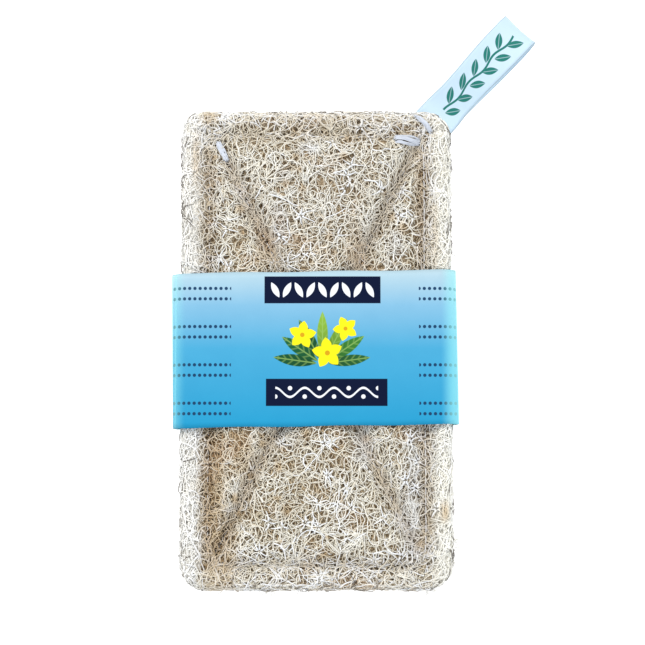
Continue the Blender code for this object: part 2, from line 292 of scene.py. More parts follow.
def mixed(tree, factor, first, second, blend="MIX"):
    """A colour mix of two colours or sockets by a factor. Returns its output."""
    made = node(tree, "ShaderNodeMix", data_type="RGBA", blend_type=blend)
    for index, value in ((0, factor), (6, first), (7, second)):
        give(tree, made.inputs[index], value)
    return made.outputs[2]


def ranged(tree, value, low, high, new_low=0.0, new_high=1.0, smooth=True):
    """A Map Range of a socket from low..high. Returns its output."""
    kind = "SMOOTHSTEP" if smooth else "LINEAR"
    ends = {"From_Min": low, "From_Max": high, "To_Min": new_low, "To_Max": new_high}
    return node(tree, "ShaderNodeMapRange", interpolation_type=kind, Value=value, **ends).outputs["Result"]


def noise_value(tree, place, scale, detail=2.0, roughness=0.5, distortion=0.0):
    """A noise of this scale in cells per metre. Returns its value."""
    values = {"Scale": scale, "Detail": detail, "Roughness": roughness, "Distortion": distortion}
    return node(tree, "ShaderNodeTexNoise", Vector=place, **values).outputs["Fac"]


def object_coordinates(tree):
    """The piece's own coordinates, in metres."""
    return tree.nodes.new("ShaderNodeTexCoord").outputs["Object"]


def mark(tree, name):
    """One of the marks that the meshes carry, such as tone or groove."""
    return node(tree, "ShaderNodeAttribute", attribute_name=name).outputs["Fac"]


def axes(tree, place):
    """The X, Y and Z of a place."""
    return node(tree, "ShaderNodeSeparateXYZ", Vector=place).outputs


def dress(tree, shader, colour, height, strength, distance):
    """Gives a shader its colour, and relief from a height."""
    bump = node(tree, "ShaderNodeBump", Height=height, Strength=strength, Distance=distance)
    tree.links.new(colour, shader.inputs["Base Color"])
    tree.links.new(bump.outputs["Normal"], shader.inputs["Normal"])


def new_group(name, inputs, outputs):
    """An empty node group with these sockets: its tree, what it is given and what it puts out."""
    tree = bpy.data.node_groups.new(name, "ShaderNodeTree")
    for way, sockets in (("INPUT", inputs), ("OUTPUT", outputs)):
        for label, kind in sockets:
            tree.interface.new_socket(label, in_out=way, socket_type=f"NodeSocket{kind}")
    return tree, tree.nodes.new("NodeGroupInput").outputs, tree.nodes.new("NodeGroupOutput").inputs


# Fibre finishes. A place is its middle, its reach on X and on Y, and its strength.
TAN = (0.74, 0.53, 0.33)
FLECK = (0.44, 0.36, 0.26)
CREAM_TINT = (1.0, 0.985, 0.93)
# Painted shade of the quilting grooves, multiplied into the strands near the seams
GROOVE_SHADE_TINT = (0.76, 0.69, 0.61)
SKIN_TINT = (0.80, 0.68, 0.52)
BLEACHED = (0.86, 0.88, 0.92)
FIBRE_FINISHES = {
    # deep and pale colour, colour on the margin, share of tan patches
    # The deeper layers are painted darker: painted shade inside the tangle, over the fibre's browner inner
    # colour
    "deep_fibre": ((0.38, 0.25, 0.12), (0.74, 0.62, 0.43), (0.97, 0.95, 0.90), 0.6),
    "mid_fibre": ((0.66, 0.57, 0.41), (0.94, 0.915, 0.81), (0.98, 0.97, 0.93), 0.5),
    "top_fibre": ((0.87, 0.82, 0.69), (0.98, 0.975, 0.925), (0.99, 0.985, 0.95), 0.2),
    "pale_fibre": ((0.88, 0.91, 0.94), (0.96, 0.97, 0.98), (0.97, 0.97, 0.96), 0.0),
    # Painted shade: near-black strands on the steep sides, for the shaded outline
    "outline_shade_fibre": ((0.07, 0.06, 0.05), (0.40, 0.34, 0.27), (0.16, 0.14, 0.12), 0.0),
}
TANNED_PLACES = (
    (-0.0290, -0.0460, 0.0036, 0.0270, 0.9),
    (-0.0262, -0.0600, 0.0044, 0.0120, 0.75),
    (0.0000, 0.0665, 0.0300, 0.0035, 0.32),
    (0.0000, -0.0665, 0.0300, 0.0035, 0.10),
    (-0.0365, 0.0450, 0.0030, 0.0250, 0.12),
    (-0.0365, -0.0450, 0.0030, 0.0250, 0.08),
    (-0.0210, -0.0300, 0.0032, 0.0075, 0.75),
    (-0.0312, 0.0672, 0.0028, 0.0030, 0.8),
    (-0.0150, 0.0290, 0.0030, 0.0065, 0.55),
    (0.0112, 0.0310, 0.0025, 0.0075, 0.6),
    (0.0300, 0.0420, 0.0014, 0.0200, 0.5),
    (0.0366, -0.0470, 0.0014, 0.0030, 0.9),
    (-0.0350, 0.0550, 0.0013, 0.0080, 0.7),
    (0.0345, 0.0330, 0.0012, 0.0100, 0.4),
)
BLEACHED_PLACES = (
    (-0.0106, 0.0370, 0.0026, 0.0075, 0.6),
    (0.0270, -0.0440, 0.0032, 0.0200, 0.55),
    (0.0130, -0.0290, 0.0032, 0.0070, 0.5),
    (0.0228, 0.0290, 0.0028, 0.0060, 0.5),
    (-0.0080, -0.0262, 0.0040, 0.0035, 0.4),
    (-0.0090, 0.0500, 0.0030, 0.0030, 0.4),
    (-0.0024, 0.0575, 0.0038, 0.0022, 0.7),
    (0.0000, 0.0440, 0.0290, 0.0170, 0.18),
)
SPECK_COUNT = 70
SPECK_SIZES = (0.0006, 0.0014)
SEAM_SHOULDER = 0.0012
MARGIN_BLEND = 0.0025
MARGIN_HEIGHT = 0.0030
MARGIN_LEAST = 0.3
MARGIN_AT_ENDS = 0.12
# Reach of the painted groove shade, and where it eases to half near the ends
GROOVE_SHADE_REACH = 0.0019
GROOVE_SHADE_LESS_FROM = -0.0030


def fibre_colour_group():
    """Loofah colour: each strand's own tone, warm patches of skin, fine flecks, painted shade that
    greys and darkens the strands along the quilting grooves, and paler strands on the rolled margin."""
    inputs = [(label, "Color") for label in ("Deep", "Pale", "Tan", "Margin")] + [("Tan Share", "Float")]
    tree, given, leave = new_group("fibre_colour", inputs, (("Color", "Color"), ("Height", "Float")))
    place = object_coordinates(tree)
    blotch = math_node(tree, "MULTIPLY_ADD", noise_value(tree, place, 130.0, 3.0, 0.65), 1.7, -0.85)
    lightness = math_node(tree, "ADD", mark(tree, "tone"), blotch)
    colour = mixed(tree, ranged(tree, lightness, 0.0, 1.0, smooth=False), given["Deep"], given["Pale"])
    patch = ranged(tree, noise_value(tree, place, 55.0, 4.0, 0.65, 0.4), 0.52, 0.68)
    colour = mixed(tree, times(tree, patch, given["Tan Share"]), colour, given["Tan"])
    fleck = noise_value(tree, place, 1400.0, 2.0, 0.6)
    colour = mixed(tree, ranged(tree, fleck, 0.35, 0.75, 0.0, 0.2), colour, FLECK)
    margin = mark(tree, "margin")
    colour = mixed(tree, times(tree, margin, 0.94), colour, given["Margin"])
    at_right = ranged(tree, axes(tree, place)["X"], 0.020, 0.034, 0.0, 0.8)
    colour = mixed(tree, times(tree, margin, at_right), colour, CREAM_TINT, "MULTIPLY")
    # Painted shade: the strands grey and darken along the quilting grooves
    colour = mixed(tree, times(tree, mark(tree, "groove"), 0.9), colour, GROOVE_SHADE_TINT, "MULTIPLY")
    colour = mixed(tree, mark(tree, "tanned"), colour, SKIN_TINT, "MULTIPLY")
    colour = mixed(tree, times(tree, mark(tree, "bleached"), 0.7), colour, BLEACHED)
    tree.links.new(colour, leave["Color"])
    tree.links.new(fleck, leave["Height"])
    return tree


FIBRE_COLOUR = fibre_colour_group()


def fibre_material(name, deep, pale, margin, tan_share):
    """A loofah fibre finish between a deep and a pale colour, with its own one on the margin."""
    made, shader, tree = new_material(name, 0.65, 0.3)
    values = {"Deep": deep, "Pale": pale, "Tan": TAN, "Margin": margin, "Tan_Share": tan_share}
    fibre = node(tree, "ShaderNodeGroup", node_tree=FIBRE_COLOUR, **values).outputs
    dress(tree, shader, fibre["Color"], fibre["Height"], 0.35, 0.00006)
    return made


# Meshes and objects
def new_object(name, data):
    """A new object in the scene."""
    made = bpy.data.objects.new(name, data)
    bpy.context.scene.collection.objects.link(made)
    return made


def finished_mesh(name, bm):
    """A mesh made from a bmesh, which is used up."""
    mesh = bpy.data.meshes.new(name)
    bm.to_mesh(mesh)
    bm.free()
    return mesh


def smooth_object(name, mesh, finish):
    """Puts a finished mesh in the scene as a smooth-shaded piece that rides on the root body."""
    made = new_object(name, mesh)
    mesh.materials.clear()
    mesh.materials.append(finish)
    mesh.shade_smooth()
    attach(made, "root")
    return made


def specks(seed):
    """Small brown places of left skin, strewn over the face inside the stitches."""
    draw = random.Random(seed)
    strewn = []
    for _ in range(SPECK_COUNT):
        x = draw.uniform(-SEAM_HALF_WIDTH, SEAM_HALF_WIDTH)
        y = draw.uniform(-SEAM_HALF_LENGTH, SEAM_HALF_LENGTH)
        size = draw.uniform(*SPECK_SIZES)
        strewn.append((x, y, size, size * draw.uniform(0.7, 1.4), 1.0))
    return tuple(strewn)


def mark_places(mesh):
    """Marks on a mesh how near each point is to a seam, which carries the painted groove shade,
    whether it is on the margin, and how brown or bleached its place is."""
    count = len(mesh.vertices)
    places = np.empty(count * 3)
    mesh.vertices.foreach_get("co", places)
    places = places.reshape(count, 3)
    raised = np.clip((places[:, 2] - MID_HEIGHT) / MARGIN_HEIGHT, MARGIN_LEAST, 1.0)
    places = places[:, :2] - (PAD_OFFSET_X, PAD_OFFSET_Y)
    beyond = np.abs(places) - (SEAM_HALF_WIDTH, SEAM_HALF_LENGTH)
    outside = np.hypot(*np.maximum(beyond, 0.0).T)
    nearest = -beyond.max(axis=1)
    for start, end in CROSS_SEAMS:
        run = (end - start).normalized()
        away = places - tuple(start)
        nearest = np.minimum(nearest, np.abs(run.x * away[:, 1] - run.y * away[:, 0]))
    nearest = np.where(outside > 0.0, outside, nearest)
    at_side, at_end = np.clip((beyond - SEAM_SHOULDER) / MARGIN_BLEND, 0.0, 1.0).T
    # The groove mark carries painted shade along the quilting lines, half as strong near the ends
    by_end = np.where(beyond[:, 1] > GROOVE_SHADE_LESS_FROM, 0.5, 1.0)
    marks = {
        "groove": np.exp(-((nearest / GROOVE_SHADE_REACH) ** 2)) * by_end,
        "margin": np.maximum(at_side, MARGIN_AT_ENDS * at_end) * raised,
    }
    for label, spots in (("tanned", TANNED_PLACES + specks(7)), ("bleached", BLEACHED_PLACES)):
        marks[label] = np.zeros(count)
        for x, y, reach_x, reach_y, most in spots:
            away = ((places[:, 0] - x) / reach_x) ** 2 + ((places[:, 1] - y) / reach_y) ** 2
            marks[label] = np.maximum(marks[label], most * np.exp(-(away**1.5)))
    for label, values in marks.items():
        layer = mesh.attributes.new(label, "FLOAT", "POINT")
        layer.data.foreach_set("value", values.astype(np.float32))


def round_profile(sides):
    """A closed outline of this many sides and of radius 1, for a strand's section."""
    profile = bpy.data.curves.new("strand_profile", "CURVE")
    outline = profile.splines.new("POLY")
    outline.points.add(sides - 1)
    outline.use_cyclic_u = True
    for index, point in enumerate(outline.points):
        turn = 2.0 * math.pi * index / sides
        point.co = (math.cos(turn), math.sin(turn), 0.0, 1.0)
    return new_object("strand_profile", profile)


def strand_piece(name, strands, finish, sides=3):
    """One mesh of round strands. A strand is a line of points with their radii, and its tone."""
    section = round_profile(sides)
    curve = bpy.data.curves.new(name, "CURVE")
    curve.dimensions = "3D"
    curve.bevel_mode = "OBJECT"
    curve.bevel_object = section
    for line, _ in strands:
        places, radii = zip(*line)
        rows = np.ones((len(line), 4))
        rows[:, :3] = places
        spline = curve.splines.new("POLY")
        spline.points.add(len(line) - 1)
        spline.points.foreach_set("co", rows.ravel())
        spline.points.foreach_set("radius", radii)
    swept = new_object(name + "_line", curve)
    mesh = bpy.data.meshes.new_from_object(swept.evaluated_get(bpy.context.evaluated_depsgraph_get()))
    for guide in (section, swept):
        bpy.data.curves.remove(guide.data)
    mesh.name = name
    tones = np.concatenate([np.full(len(line) * sides, tone) for line, tone in strands])
    layer = mesh.attributes.new("tone", "FLOAT", "POINT")
    layer.data.foreach_set("value", tones.astype(np.float32))
    bm = bmesh.new()
    bm.from_mesh(mesh)
    bmesh.ops.remove_doubles(bm, verts=bm.verts, dist=1e-7)
    bmesh.ops.recalc_face_normals(bm, faces=bm.faces)
    bm.to_mesh(mesh)
    bm.free()
    mark_places(mesh)
    return smooth_object(name, mesh, finish)


# Loofah net and strands. A tuft is its place on the outline, its reach and its count of curls.
NET_JITTER = 0.42
NET_WARP = 0.0016
NET_WARP_SCALE = 90.0
PIT_COUNT = 430
PIT_SPREAD = 0.0011
SUNK_END = 0.0003
SUNK_TIP = 0.0004
TUFTS = (
    (0.0400, -0.0540, 0.0036, 9),
    (0.0400, -0.0630, 0.0026, 6),
    (0.0400, 0.0468, 0.0028, 5),
    (-0.0400, 0.0640, 0.0024, 7),
    (-0.0350, 0.0690, 0.0022, 8),
    (-0.0290, 0.0700, 0.0024, 5),
    (0.0076, 0.0700, 0.0024, 5),
    (-0.0120, -0.0700, 0.0028, 5),
    (0.0330, -0.0700, 0.0024, 5),
)


def net(cells, seed):
    """An irregular net round seeded points, laid on the pad: a bmesh whose edges are its threads."""
    draw = random.Random(seed)
    bm = divided_cube(cells)
    sizes = (PAD_WIDTH / 2, PAD_LENGTH / 2, MID_HEIGHT)
    for vert in bm.verts:
        place = pad_point(vert.co) * NET_WARP_SCALE + Vector((seed, 0.0, 0.0))
        drift = noise.noise_vector(place) * NET_WARP
        for axis, count in enumerate(cells):
            if abs(vert.co[axis]) < 0.999:
                shift = draw.uniform(-NET_JITTER, NET_JITTER) * 2.0 / count
                vert.co[axis] += shift + drift[axis] / sizes[axis]
    bmesh.ops.triangulate(bm, faces=bm.faces[:], quad_method="SHORT_EDGE")
    seeds = bm.verts[:]
    old_edges = bm.edges[:]
    bmesh.ops.poke(bm, faces=bm.faces[:])
    bmesh.ops.rotate_edges(bm, edges=old_edges, use_ccw=False)
    bmesh.ops.dissolve_verts(bm, verts=seeds)
    for vert in bm.verts:
        vert.co = pad_point(vert.co)
    bm.normal_update()
    return bm


def straightest_pair(vert):
    """The two edges at a knot that run straightest through it."""
    edges = list(vert.link_edges)
    ways = [(edge.other_vert(vert).co - vert.co).normalized() for edge in edges]
    pairs = [(ways[i].dot(ways[j]), i, j) for i in range(len(edges)) for j in range(i)]
    if not pairs:
        return None
    _, i, j = min(pairs)
    return edges[i], edges[j]


def net_strands(cells, seed, keep, lift, radius, steps, share=1.0):
    """The threads of a net as long strands: at each knot the two straightest run on as one.
    share is how many of the strands stay."""
    draw = random.Random(seed + 1)
    bm = net(cells, seed)
    dropped = [v for v in bm.verts if under_band(v.co) or not keep(v.co, v.normal)]
    bmesh.ops.delete(bm, geom=dropped, context="VERTS")
    bm.verts.index_update()
    bm.edges.index_update()
    onward = {}
    knots = []
    for vert in bm.verts:
        pair = straightest_pair(vert)
        place = vert.co
        if pair:
            ends = [edge.other_vert(vert).co for edge in pair]
            place = vert.co * 0.50 + (ends[0] + ends[1]) * 0.25
            onward[vert.index, pair[0].index] = pair[1]
            onward[vert.index, pair[1].index] = pair[0]
        knots.append(place + vert.normal * draw.uniform(*lift))
    used = set()
    for first in bm.edges:
        if first.index in used:
            continue
        used.add(first.index)
        chain = [first.verts[0], first.verts[1]]
        for grow_end in (True, False):
            edge = first
            longest = draw.randint(4, 14)
            while len(chain) < longest:
                tip = chain[-1] if grow_end else chain[0]
                edge = onward.get((tip.index, edge.index))
                if edge is None or edge.index in used:
                    break
                used.add(edge.index)
                chain.insert(len(chain) if grow_end else 0, edge.other_vert(tip))
        if draw.random() < share:
            yield chain_strand(chain, knots, radius, steps, draw)
    bm.free()


def chain_strand(chain, knots, radius, steps, draw):
    """A strand through a chain of knots, bowed between them, its ends sunk in the mat."""
    places = [knots[vert.index] for vert in chain]
    normals = [vert.normal for vert in chain]
    thick = draw.uniform(*radius)
    line = [(places[0] - normals[0] * SUNK_END, 0.0)]
    for start, end, normal in zip(places, places[1:], normals):
        bow = (end - start).cross(normal) * draw.uniform(-0.16, 0.16)
        rise = normal * draw.uniform(-0.00018, 0.00018)
        for step in range(steps):
            share = step / steps
            place = start.lerp(end, share) + (bow + rise) * (4.0 * share * (1.0 - share))
            line.append((place, thick * draw.uniform(0.82, 1.15)))
    line.append((places[-1], thick))
    line.append((places[-1] - normals[-1] * SUNK_END, 0.0))
    return round_pits(line), draw.random()


def spread_starts(count, keep, draw):
    """Points spread at random over the pad's surface, away from the sleeve, by area."""
    faces = []
    for face in FORM.faces:
        middle = face.calc_center_median()
        if not under_band(middle, 0.0) and keep(middle, face.normal):
            faces.append(face)
    areas = [face.calc_area() for face in faces]
    starts = []
    for face in draw.choices(faces, weights=areas, k=count):
        corners = [vert.co for vert in face.verts]
        shares = [draw.random() for _ in corners]
        total = sum(shares)
        starts.append(sum((c * s / total for c, s in zip(corners, shares)), Vector()))
    return starts


def pits(count, seed):
    """Places of the small dark pits in the front, as a tree to search."""
    tree = KDTree(count)
    for index, place in enumerate(spread_starts(count, is_front, random.Random(seed))):
        tree.insert(place, index)
    tree.balance()
    return tree


def round_pit(point):
    """Moves a point of a strand out of the nearest pit, which the strands run round."""
    middle, _, away = PITS.find(point)
    size = PIT_SPREAD * (0.75 + 0.5 * abs(noise.noise(middle * 900.0)))
    if away >= size or away < 1e-6:
        return point
    return middle + (point - middle) * ((0.72 + 0.28 * away / size) * size / away)


def round_pits(line):
    """A strand's line, run round the pits."""
    return [(round_pit(point), radius) for point, radius in line]


def walked_strand(start, heading, steps, step, turn, lift, thick, draw):
    """A strand that wanders over the pad's surface, turning and rising smoothly."""
    place, normal, _, _ = FORM_TREE.find_nearest(start)
    heading = (heading - normal * heading.dot(normal)).normalized()
    swing = draw.gauss(0.0, turn)
    height = draw.uniform(*lift)
    thickness = draw.uniform(*thick)
    line = []
    for index in range(steps + 1):
        if index in (0, steps):
            line.append((place + normal * (height - SUNK_TIP), 0.0))
        else:
            line.append((place + normal * height, thickness * draw.uniform(0.85, 1.12)))
        swing = 0.72 * swing + draw.gauss(0.0, turn * 0.69)
        height += draw.uniform(-1.0, 1.0) * 0.00022
        height = min(max(height, lift[0]), lift[1])
        sideways = normal.cross(heading)
        heading = heading * math.cos(swing) + sideways * math.sin(swing)
        place, normal, _, _ = FORM_TREE.find_nearest(place + heading * step)
        heading = (heading - normal * heading.dot(normal)).normalized()
        if under_band(place):
            line.append((place + normal * (height - SUNK_TIP), 0.0))
            break
    return round_pits(line), draw.random()


def turned_starts(count, keep, draw):
    """Starts spread over the pad, each with an angle at random."""
    for start in spread_starts(count, keep, draw):
        yield start, draw.uniform(0.0, 2.0 * math.pi)


def flat_heading(angle):
    """A level heading at an angle from the X axis."""
    return Vector((math.cos(angle), math.sin(angle), 0.0))


def walked_strands(count, seed, keep, steps, step, turn, lift, thick, lean=None):
    """Wandering strands from random starts. lean gives their heading, or it is any way."""
    draw = random.Random(seed)
    for start, angle in turned_starts(count, keep, draw):
        heading = flat_heading(angle) + Vector((0.0, 0.0, draw.uniform(-0.6, 0.6)))
        if lean:
            heading = lean + heading * 0.35
        yield walked_strand(start, heading, draw.randint(*steps), step, turn, lift, thick, draw)


def fan_strands(count, seed):
    """Fans on the front: bundles of strands that part from one knot and run side by side."""
    draw = random.Random(seed)
    lift, thick = (0.0, 0.0004), (0.00012, 0.00018)
    for start, angle in turned_starts(count, is_front, draw):
        blades = draw.randint(5, 8)
        for blade in range(blades):
            heading = flat_heading(angle + (blade - blades / 2) * 0.17)
            yield walked_strand(start, heading, draw.randint(6, 10), 0.0009, 0.07, lift, thick, draw)


def knot_strands(count, seed):
    """Knots on the front: a few short strands that grow thick where they meet."""
    draw = random.Random(seed)
    lift, thick = (0.0001, 0.0003), (0.00012, 0.00016)
    for start, angle in turned_starts(count, is_front, draw):
        arms = draw.randint(3, 6)
        for arm in range(arms):
            heading = flat_heading(angle + 2.0 * math.pi * (arm + draw.uniform(-0.25, 0.25)) / arms)
            line, tone = walked_strand(start, heading, draw.randint(4, 8), 0.0006, 0.12, lift, thick, draw)
            points, radii = zip(*line)
            root = points[1] - (points[2] - points[1]) * 0.6
            webbed = [radius * (1.0 + 3.4 * math.exp(-index / 1.5)) for index, radius in enumerate(radii)]
            yield list(zip((root, *points[1:]), webbed)), tone


def loose_ends(count, seed):
    """Short curved ends of fibre that stand off the pad's rolled edge."""
    draw = random.Random(seed)
    for start in spread_starts(count, on_outline, draw):
        place, normal, _, _ = FORM_TREE.find_nearest(start)
        along = normal.cross(UP) * draw.choice((-1.0, 1.0))
        out = draw.uniform(0.0003, 0.0016) * draw.random()
        reach = draw.uniform(0.0008, 0.0024)
        if draw.random() < 0.09:
            out, reach = draw.uniform(0.0012, 0.0028), draw.uniform(0.0020, 0.0036)
        curl = UP * draw.uniform(-0.6, 0.6)
        thick = draw.uniform(0.00008, 0.00015)
        line = []
        for index in range(5):
            share = index / 4
            arch = math.sin(math.pi * min(share * 1.2, 1.0) * 0.6)
            point = place + (along + curl * share) * reach * share + normal * out * arch
            line.append((point, thick * (1.0 - share) if index else 0.0))
        yield line, draw.random()


def tufts(seed):
    """Loose curls of fibre that stand out from the outline at a few places."""
    draw = random.Random(seed)
    for x, y, reach, count in TUFTS:
        place, normal, _, _ = FORM_TREE.find_nearest(Vector((x, y, MID_HEIGHT + 0.003)))
        along = normal.cross(UP).normalized()
        for _ in range(count):
            swing = draw.uniform(-0.35, 0.35)
            turn = draw.uniform(-1.1, 1.1)
            rise = UP * draw.uniform(-0.3, 0.3)
            tip = place + along * draw.gauss(0.0, reach * 0.4)
            line = [(tip - normal * 0.0006, 0.0)]
            for step in range(8):
                heading = normal * math.cos(turn) + along * math.sin(turn) + rise
                tip = tip + heading * reach / 6
                turn += swing
                line.append((tip, 0.00013 * (1.0 - step / 8)))
            yield line, draw.random()


def on_rest(point, normal):
    """The pad's sides and its back."""
    return not is_front(point, normal)


def on_margin(point, normal):
    """The front's rolled margin, outside the stitched rectangle."""
    past_x = abs(point.x - PAD_OFFSET_X) - SEAM_HALF_WIDTH
    past_y = abs(point.y - PAD_OFFSET_Y) - SEAM_HALF_LENGTH
    return max(past_x, past_y) > SEAM_SHOULDER and point.z > MID_HEIGHT


def on_cross(point, normal):
    """The front along the cross of quilting, inside the stitched rectangle."""
    x, y = point.x - PAD_OFFSET_X, point.y - PAD_OFFSET_Y
    inside = is_front(point, normal) and abs(y) < SEAM_HALF_LENGTH - 0.004
    return inside and distance_to_cross(x, y) < 0.0014


def on_outline(point, normal):
    """The pad's steep sides."""
    return abs(normal.z) < 0.5


def form_mesh():
    """The pad's smooth form, finely divided, as a bmesh."""
    bm = divided_cube((60, 104, 12))
    for vert in bm.verts:
        vert.co = pad_point(vert.co)
    bmesh.ops.recalc_face_normals(bm, faces=bm.faces)
    bm.normal_update()
    return bm


MAT_DEPTH = 0.0013
MAT_DEPTH_ON_MARGIN = 0.0008
# Painted shade in the mat's hollows between the painted ridges, over the fibre's browner inner colour
HOLLOW_SHADE_DARK = (0.075, 0.036, 0.013)
HOLLOW_SHADE_LIGHT = (0.30, 0.20, 0.10)
MAT_RIDGE = (0.50, 0.41, 0.28)
MAT_TAN = (0.50, 0.36, 0.22)
MAT_MARGIN = (0.96, 0.94, 0.88)


def mat_material():
    """Matted fibre: painted shade in the dark brown hollows between two sizes of paler ridges, pale on the
    margin.
    """
    made, shader, tree = new_material("inner_mat", 0.85)
    place = object_coordinates(tree)
    ridges = []
    for scale, warp in ((620.0, 0.0016), (1300.0, 0.0009)):
        warped = node(tree, "ShaderNodeTexNoise", Vector=place, Scale=500.0, Detail=3.0).outputs["Color"]
        shift = node(tree, "ShaderNodeVectorMath", operation="MULTIPLY_ADD")
        for socket, value in zip(shift.inputs, (warped, (warp, warp, warp), place)):
            give(tree, socket, value)
        values = {"feature": "DISTANCE_TO_EDGE", "Scale": scale, "Vector": shift.outputs[0]}
        matted = node(tree, "ShaderNodeTexVoronoi", **values)
        ridges.append(ranged(tree, matted.outputs["Distance"], 0.03, 0.2, 1.0, 0.0))
    ridge = math_node(tree, "MAXIMUM", ridges[0], times(tree, ridges[1], 0.6))
    depth = ranged(tree, noise_value(tree, place, 330.0), 0.35, 0.6)
    # The hollows between the ridges carry painted shade
    colour = mixed(tree, ridge, mixed(tree, depth, HOLLOW_SHADE_DARK, HOLLOW_SHADE_LIGHT), MAT_RIDGE)
    patch = ranged(tree, noise_value(tree, place, 70.0, 3.0, 0.6), 0.45, 0.7)
    colour = mixed(tree, times(tree, patch, 0.4), colour, MAT_TAN)
    colour = mixed(tree, times(tree, mark(tree, "margin"), 0.96), colour, MAT_MARGIN)
    dress(tree, shader, colour, ridge, 0.8, 0.0003)
    return made


def inner_mat():
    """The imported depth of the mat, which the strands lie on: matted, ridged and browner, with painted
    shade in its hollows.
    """
    bm = FORM.copy()
    for vert in bm.verts:
        ridged = noise.noise(vert.co * 620.0) * 0.00035 + noise.noise(vert.co * 240.0) * 0.0004
        at_side = on_margin(vert.co, vert.normal) and abs(vert.co.x) > SEAM_HALF_WIDTH
        vert.co -= vert.normal * ((MAT_DEPTH_ON_MARGIN if at_side else MAT_DEPTH) - ridged)
    mesh = finished_mesh("inner_mat", bm)
    mark_places(mesh)
    made = smooth_object("inner_mat", mesh, mat_material())
    return made


def loofah_pad():
    """The pad: its packed depth and the layers of strands that cover it. A net takes its cells,
    seed, place, lift, radius, steps a thread and share kept. A walk takes its count, seed, place,
    steps, step, turn, lift, radius and lean."""
    lengthwise = Vector((0.0, 1.0, 0.0))
    crosswise = Vector((1.0, 0.0, 0.0))
    deep = [*net_strands((31, 54, 8), 11, is_front, (-0.0013, -0.0007), (0.00016, 0.00024), 2)]
    deep += walked_strands(
        1000, 12, is_front, (6, 14), 0.0009, 0.34, (-0.0012, -0.0006), (0.00014, 0.00022)
    )
    mid = [*net_strands((36, 63, 9), 21, is_front, (-0.0007, -0.0001), (0.00013, 0.0002), 2, 0.85)]
    mid += walked_strands(2100, 22, is_front, (6, 18), 0.0007, 0.40, (-0.0007, 0.0), (0.00011, 0.00018))
    top = [*net_strands((27, 47, 7), 31, is_front, (-0.0001, 0.0003), (0.00012, 0.0002), 3, 0.7)]
    top += walked_strands(1500, 32, is_front, (6, 20), 0.0007, 0.42, (-0.0001, 0.0004), (0.0001, 0.00017))
    top += fan_strands(34, 33)
    for seed, (start, end) in enumerate(CROSS_SEAMS, 34):
        run = Vector((*(end - start).normalized(), 0.0))
        top += walked_strands(
            170, seed, on_cross, (8, 18), 0.0008, 0.10, (-0.0001, 0.0002), (0.0001, 0.00016), run
        )
    pale = [*walked_strands(60, 41, is_front, (7, 14), 0.0009, 0.26, (0.0, 0.0003), (0.00014, 0.00024))]
    pale += knot_strands(110, 43)
    pale += walked_strands(
        800, 42, on_margin, (8, 20), 0.0008, 0.22, (-0.0003, 0.0002), (0.00013, 0.00024), lengthwise
    )
    deep_back = [*net_strands((27, 47, 7), 51, on_rest, (-0.0013, -0.0007), (0.00018, 0.00026), 2)]
    deep_back += walked_strands(
        1000, 52, on_rest, (6, 16), 0.001, 0.3, (-0.0012, -0.0005), (0.00016, 0.00024)
    )
    top_back = [*net_strands((27, 47, 7), 61, on_rest, (-0.0006, -0.0002), (0.00013, 0.00022), 2)]
    top_back += walked_strands(
        1400, 62, on_rest, (6, 18), 0.0009, 0.36, (-0.0006, -0.0002), (0.00013, 0.00022)
    )
    top_back += loose_ends(480, 63)
    top_back += tufts(64)
    # Dark strands on the steep sides: painted shade along the pad's outline
    edge = []
    for count, lean in ((330, lengthwise), (170, crosswise)):
        edge += walked_strands(
            count, 71, on_outline, (3, 8), 0.0007, 0.16, (0.0002, 0.0006), (0.00009, 0.00016), lean
        )
    finish = {name: fibre_material(name, *values) for name, values in FIBRE_FINISHES.items()}
    layers = (
        ("deep_strands_front", deep, "deep_fibre"),
        ("mid_strands_front", mid, "mid_fibre"),
        ("top_strands_front", top, "top_fibre"),
        ("pale_strands_front", pale, "pale_fibre"),
        ("deep_strands_back", deep_back, "mid_fibre"),
        ("top_strands_back", top_back, "top_fibre"),
        ("outline_shade_strands", edge, "outline_shade_fibre"),
    )
    pieces = [inner_mat()]
    pieces += [strand_piece(name, strands, finish[kind]) for name, strands, kind in layers]
    for piece in pieces:
        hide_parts("loofah_pad")


# Stitches. The arch is the share of a stitch's length and how far it stands out of the mat.
STITCH_LENGTH = 0.0027
STITCH_GAP = 0.0003
STITCH_RADIUS = 0.00016
STITCH_ARCH = (
    (0.0, -0.0012),
    (0.08, -0.0002),
    (0.35, 0.00012),
    (0.65, 0.00012),
    (0.92, -0.0002),
    (1.0, -0.0012),
)
BAR_THREAD_RADIUS = 0.0002
BAR_THREAD_PITCH = 0.00026
BAR_STEPS = 8
BAR_RISE = 0.0005
BAR_COTTON = ((0.50, 0.54, 0.62), (0.67, 0.71, 0.78))
# Light grey cotton, darkened in part as painted shade where the stitches sink into the grooves
SEAM_COTTON = ((0.58, 0.57, 0.56), (0.84, 0.83, 0.82))
SEAM_NODES = ("border_thread", "cross_thread_a", "cross_thread_b")


def thread_material(name, dark, light):
    """Twisted cotton thread between two colours."""
    made, shader, tree = new_material(name, 0.55)
    place = object_coordinates(tree)
    colour = mixed(tree, noise_value(tree, place, 900.0), dark, light)
    dress(tree, shader, colour, noise_value(tree, place, 5200.0, 1.0), 0.4, 0.00008)
    return made


def surface_at(x, y, side):
    """The pad's surface at a point of the plan: its place and its outward normal."""
    start = Vector((x, y, MID_HEIGHT + side * 0.05))
    place, normal, _, _ = FORM_TREE.ray_cast(start, Vector((0.0, 0.0, -side)))
    return place, normal


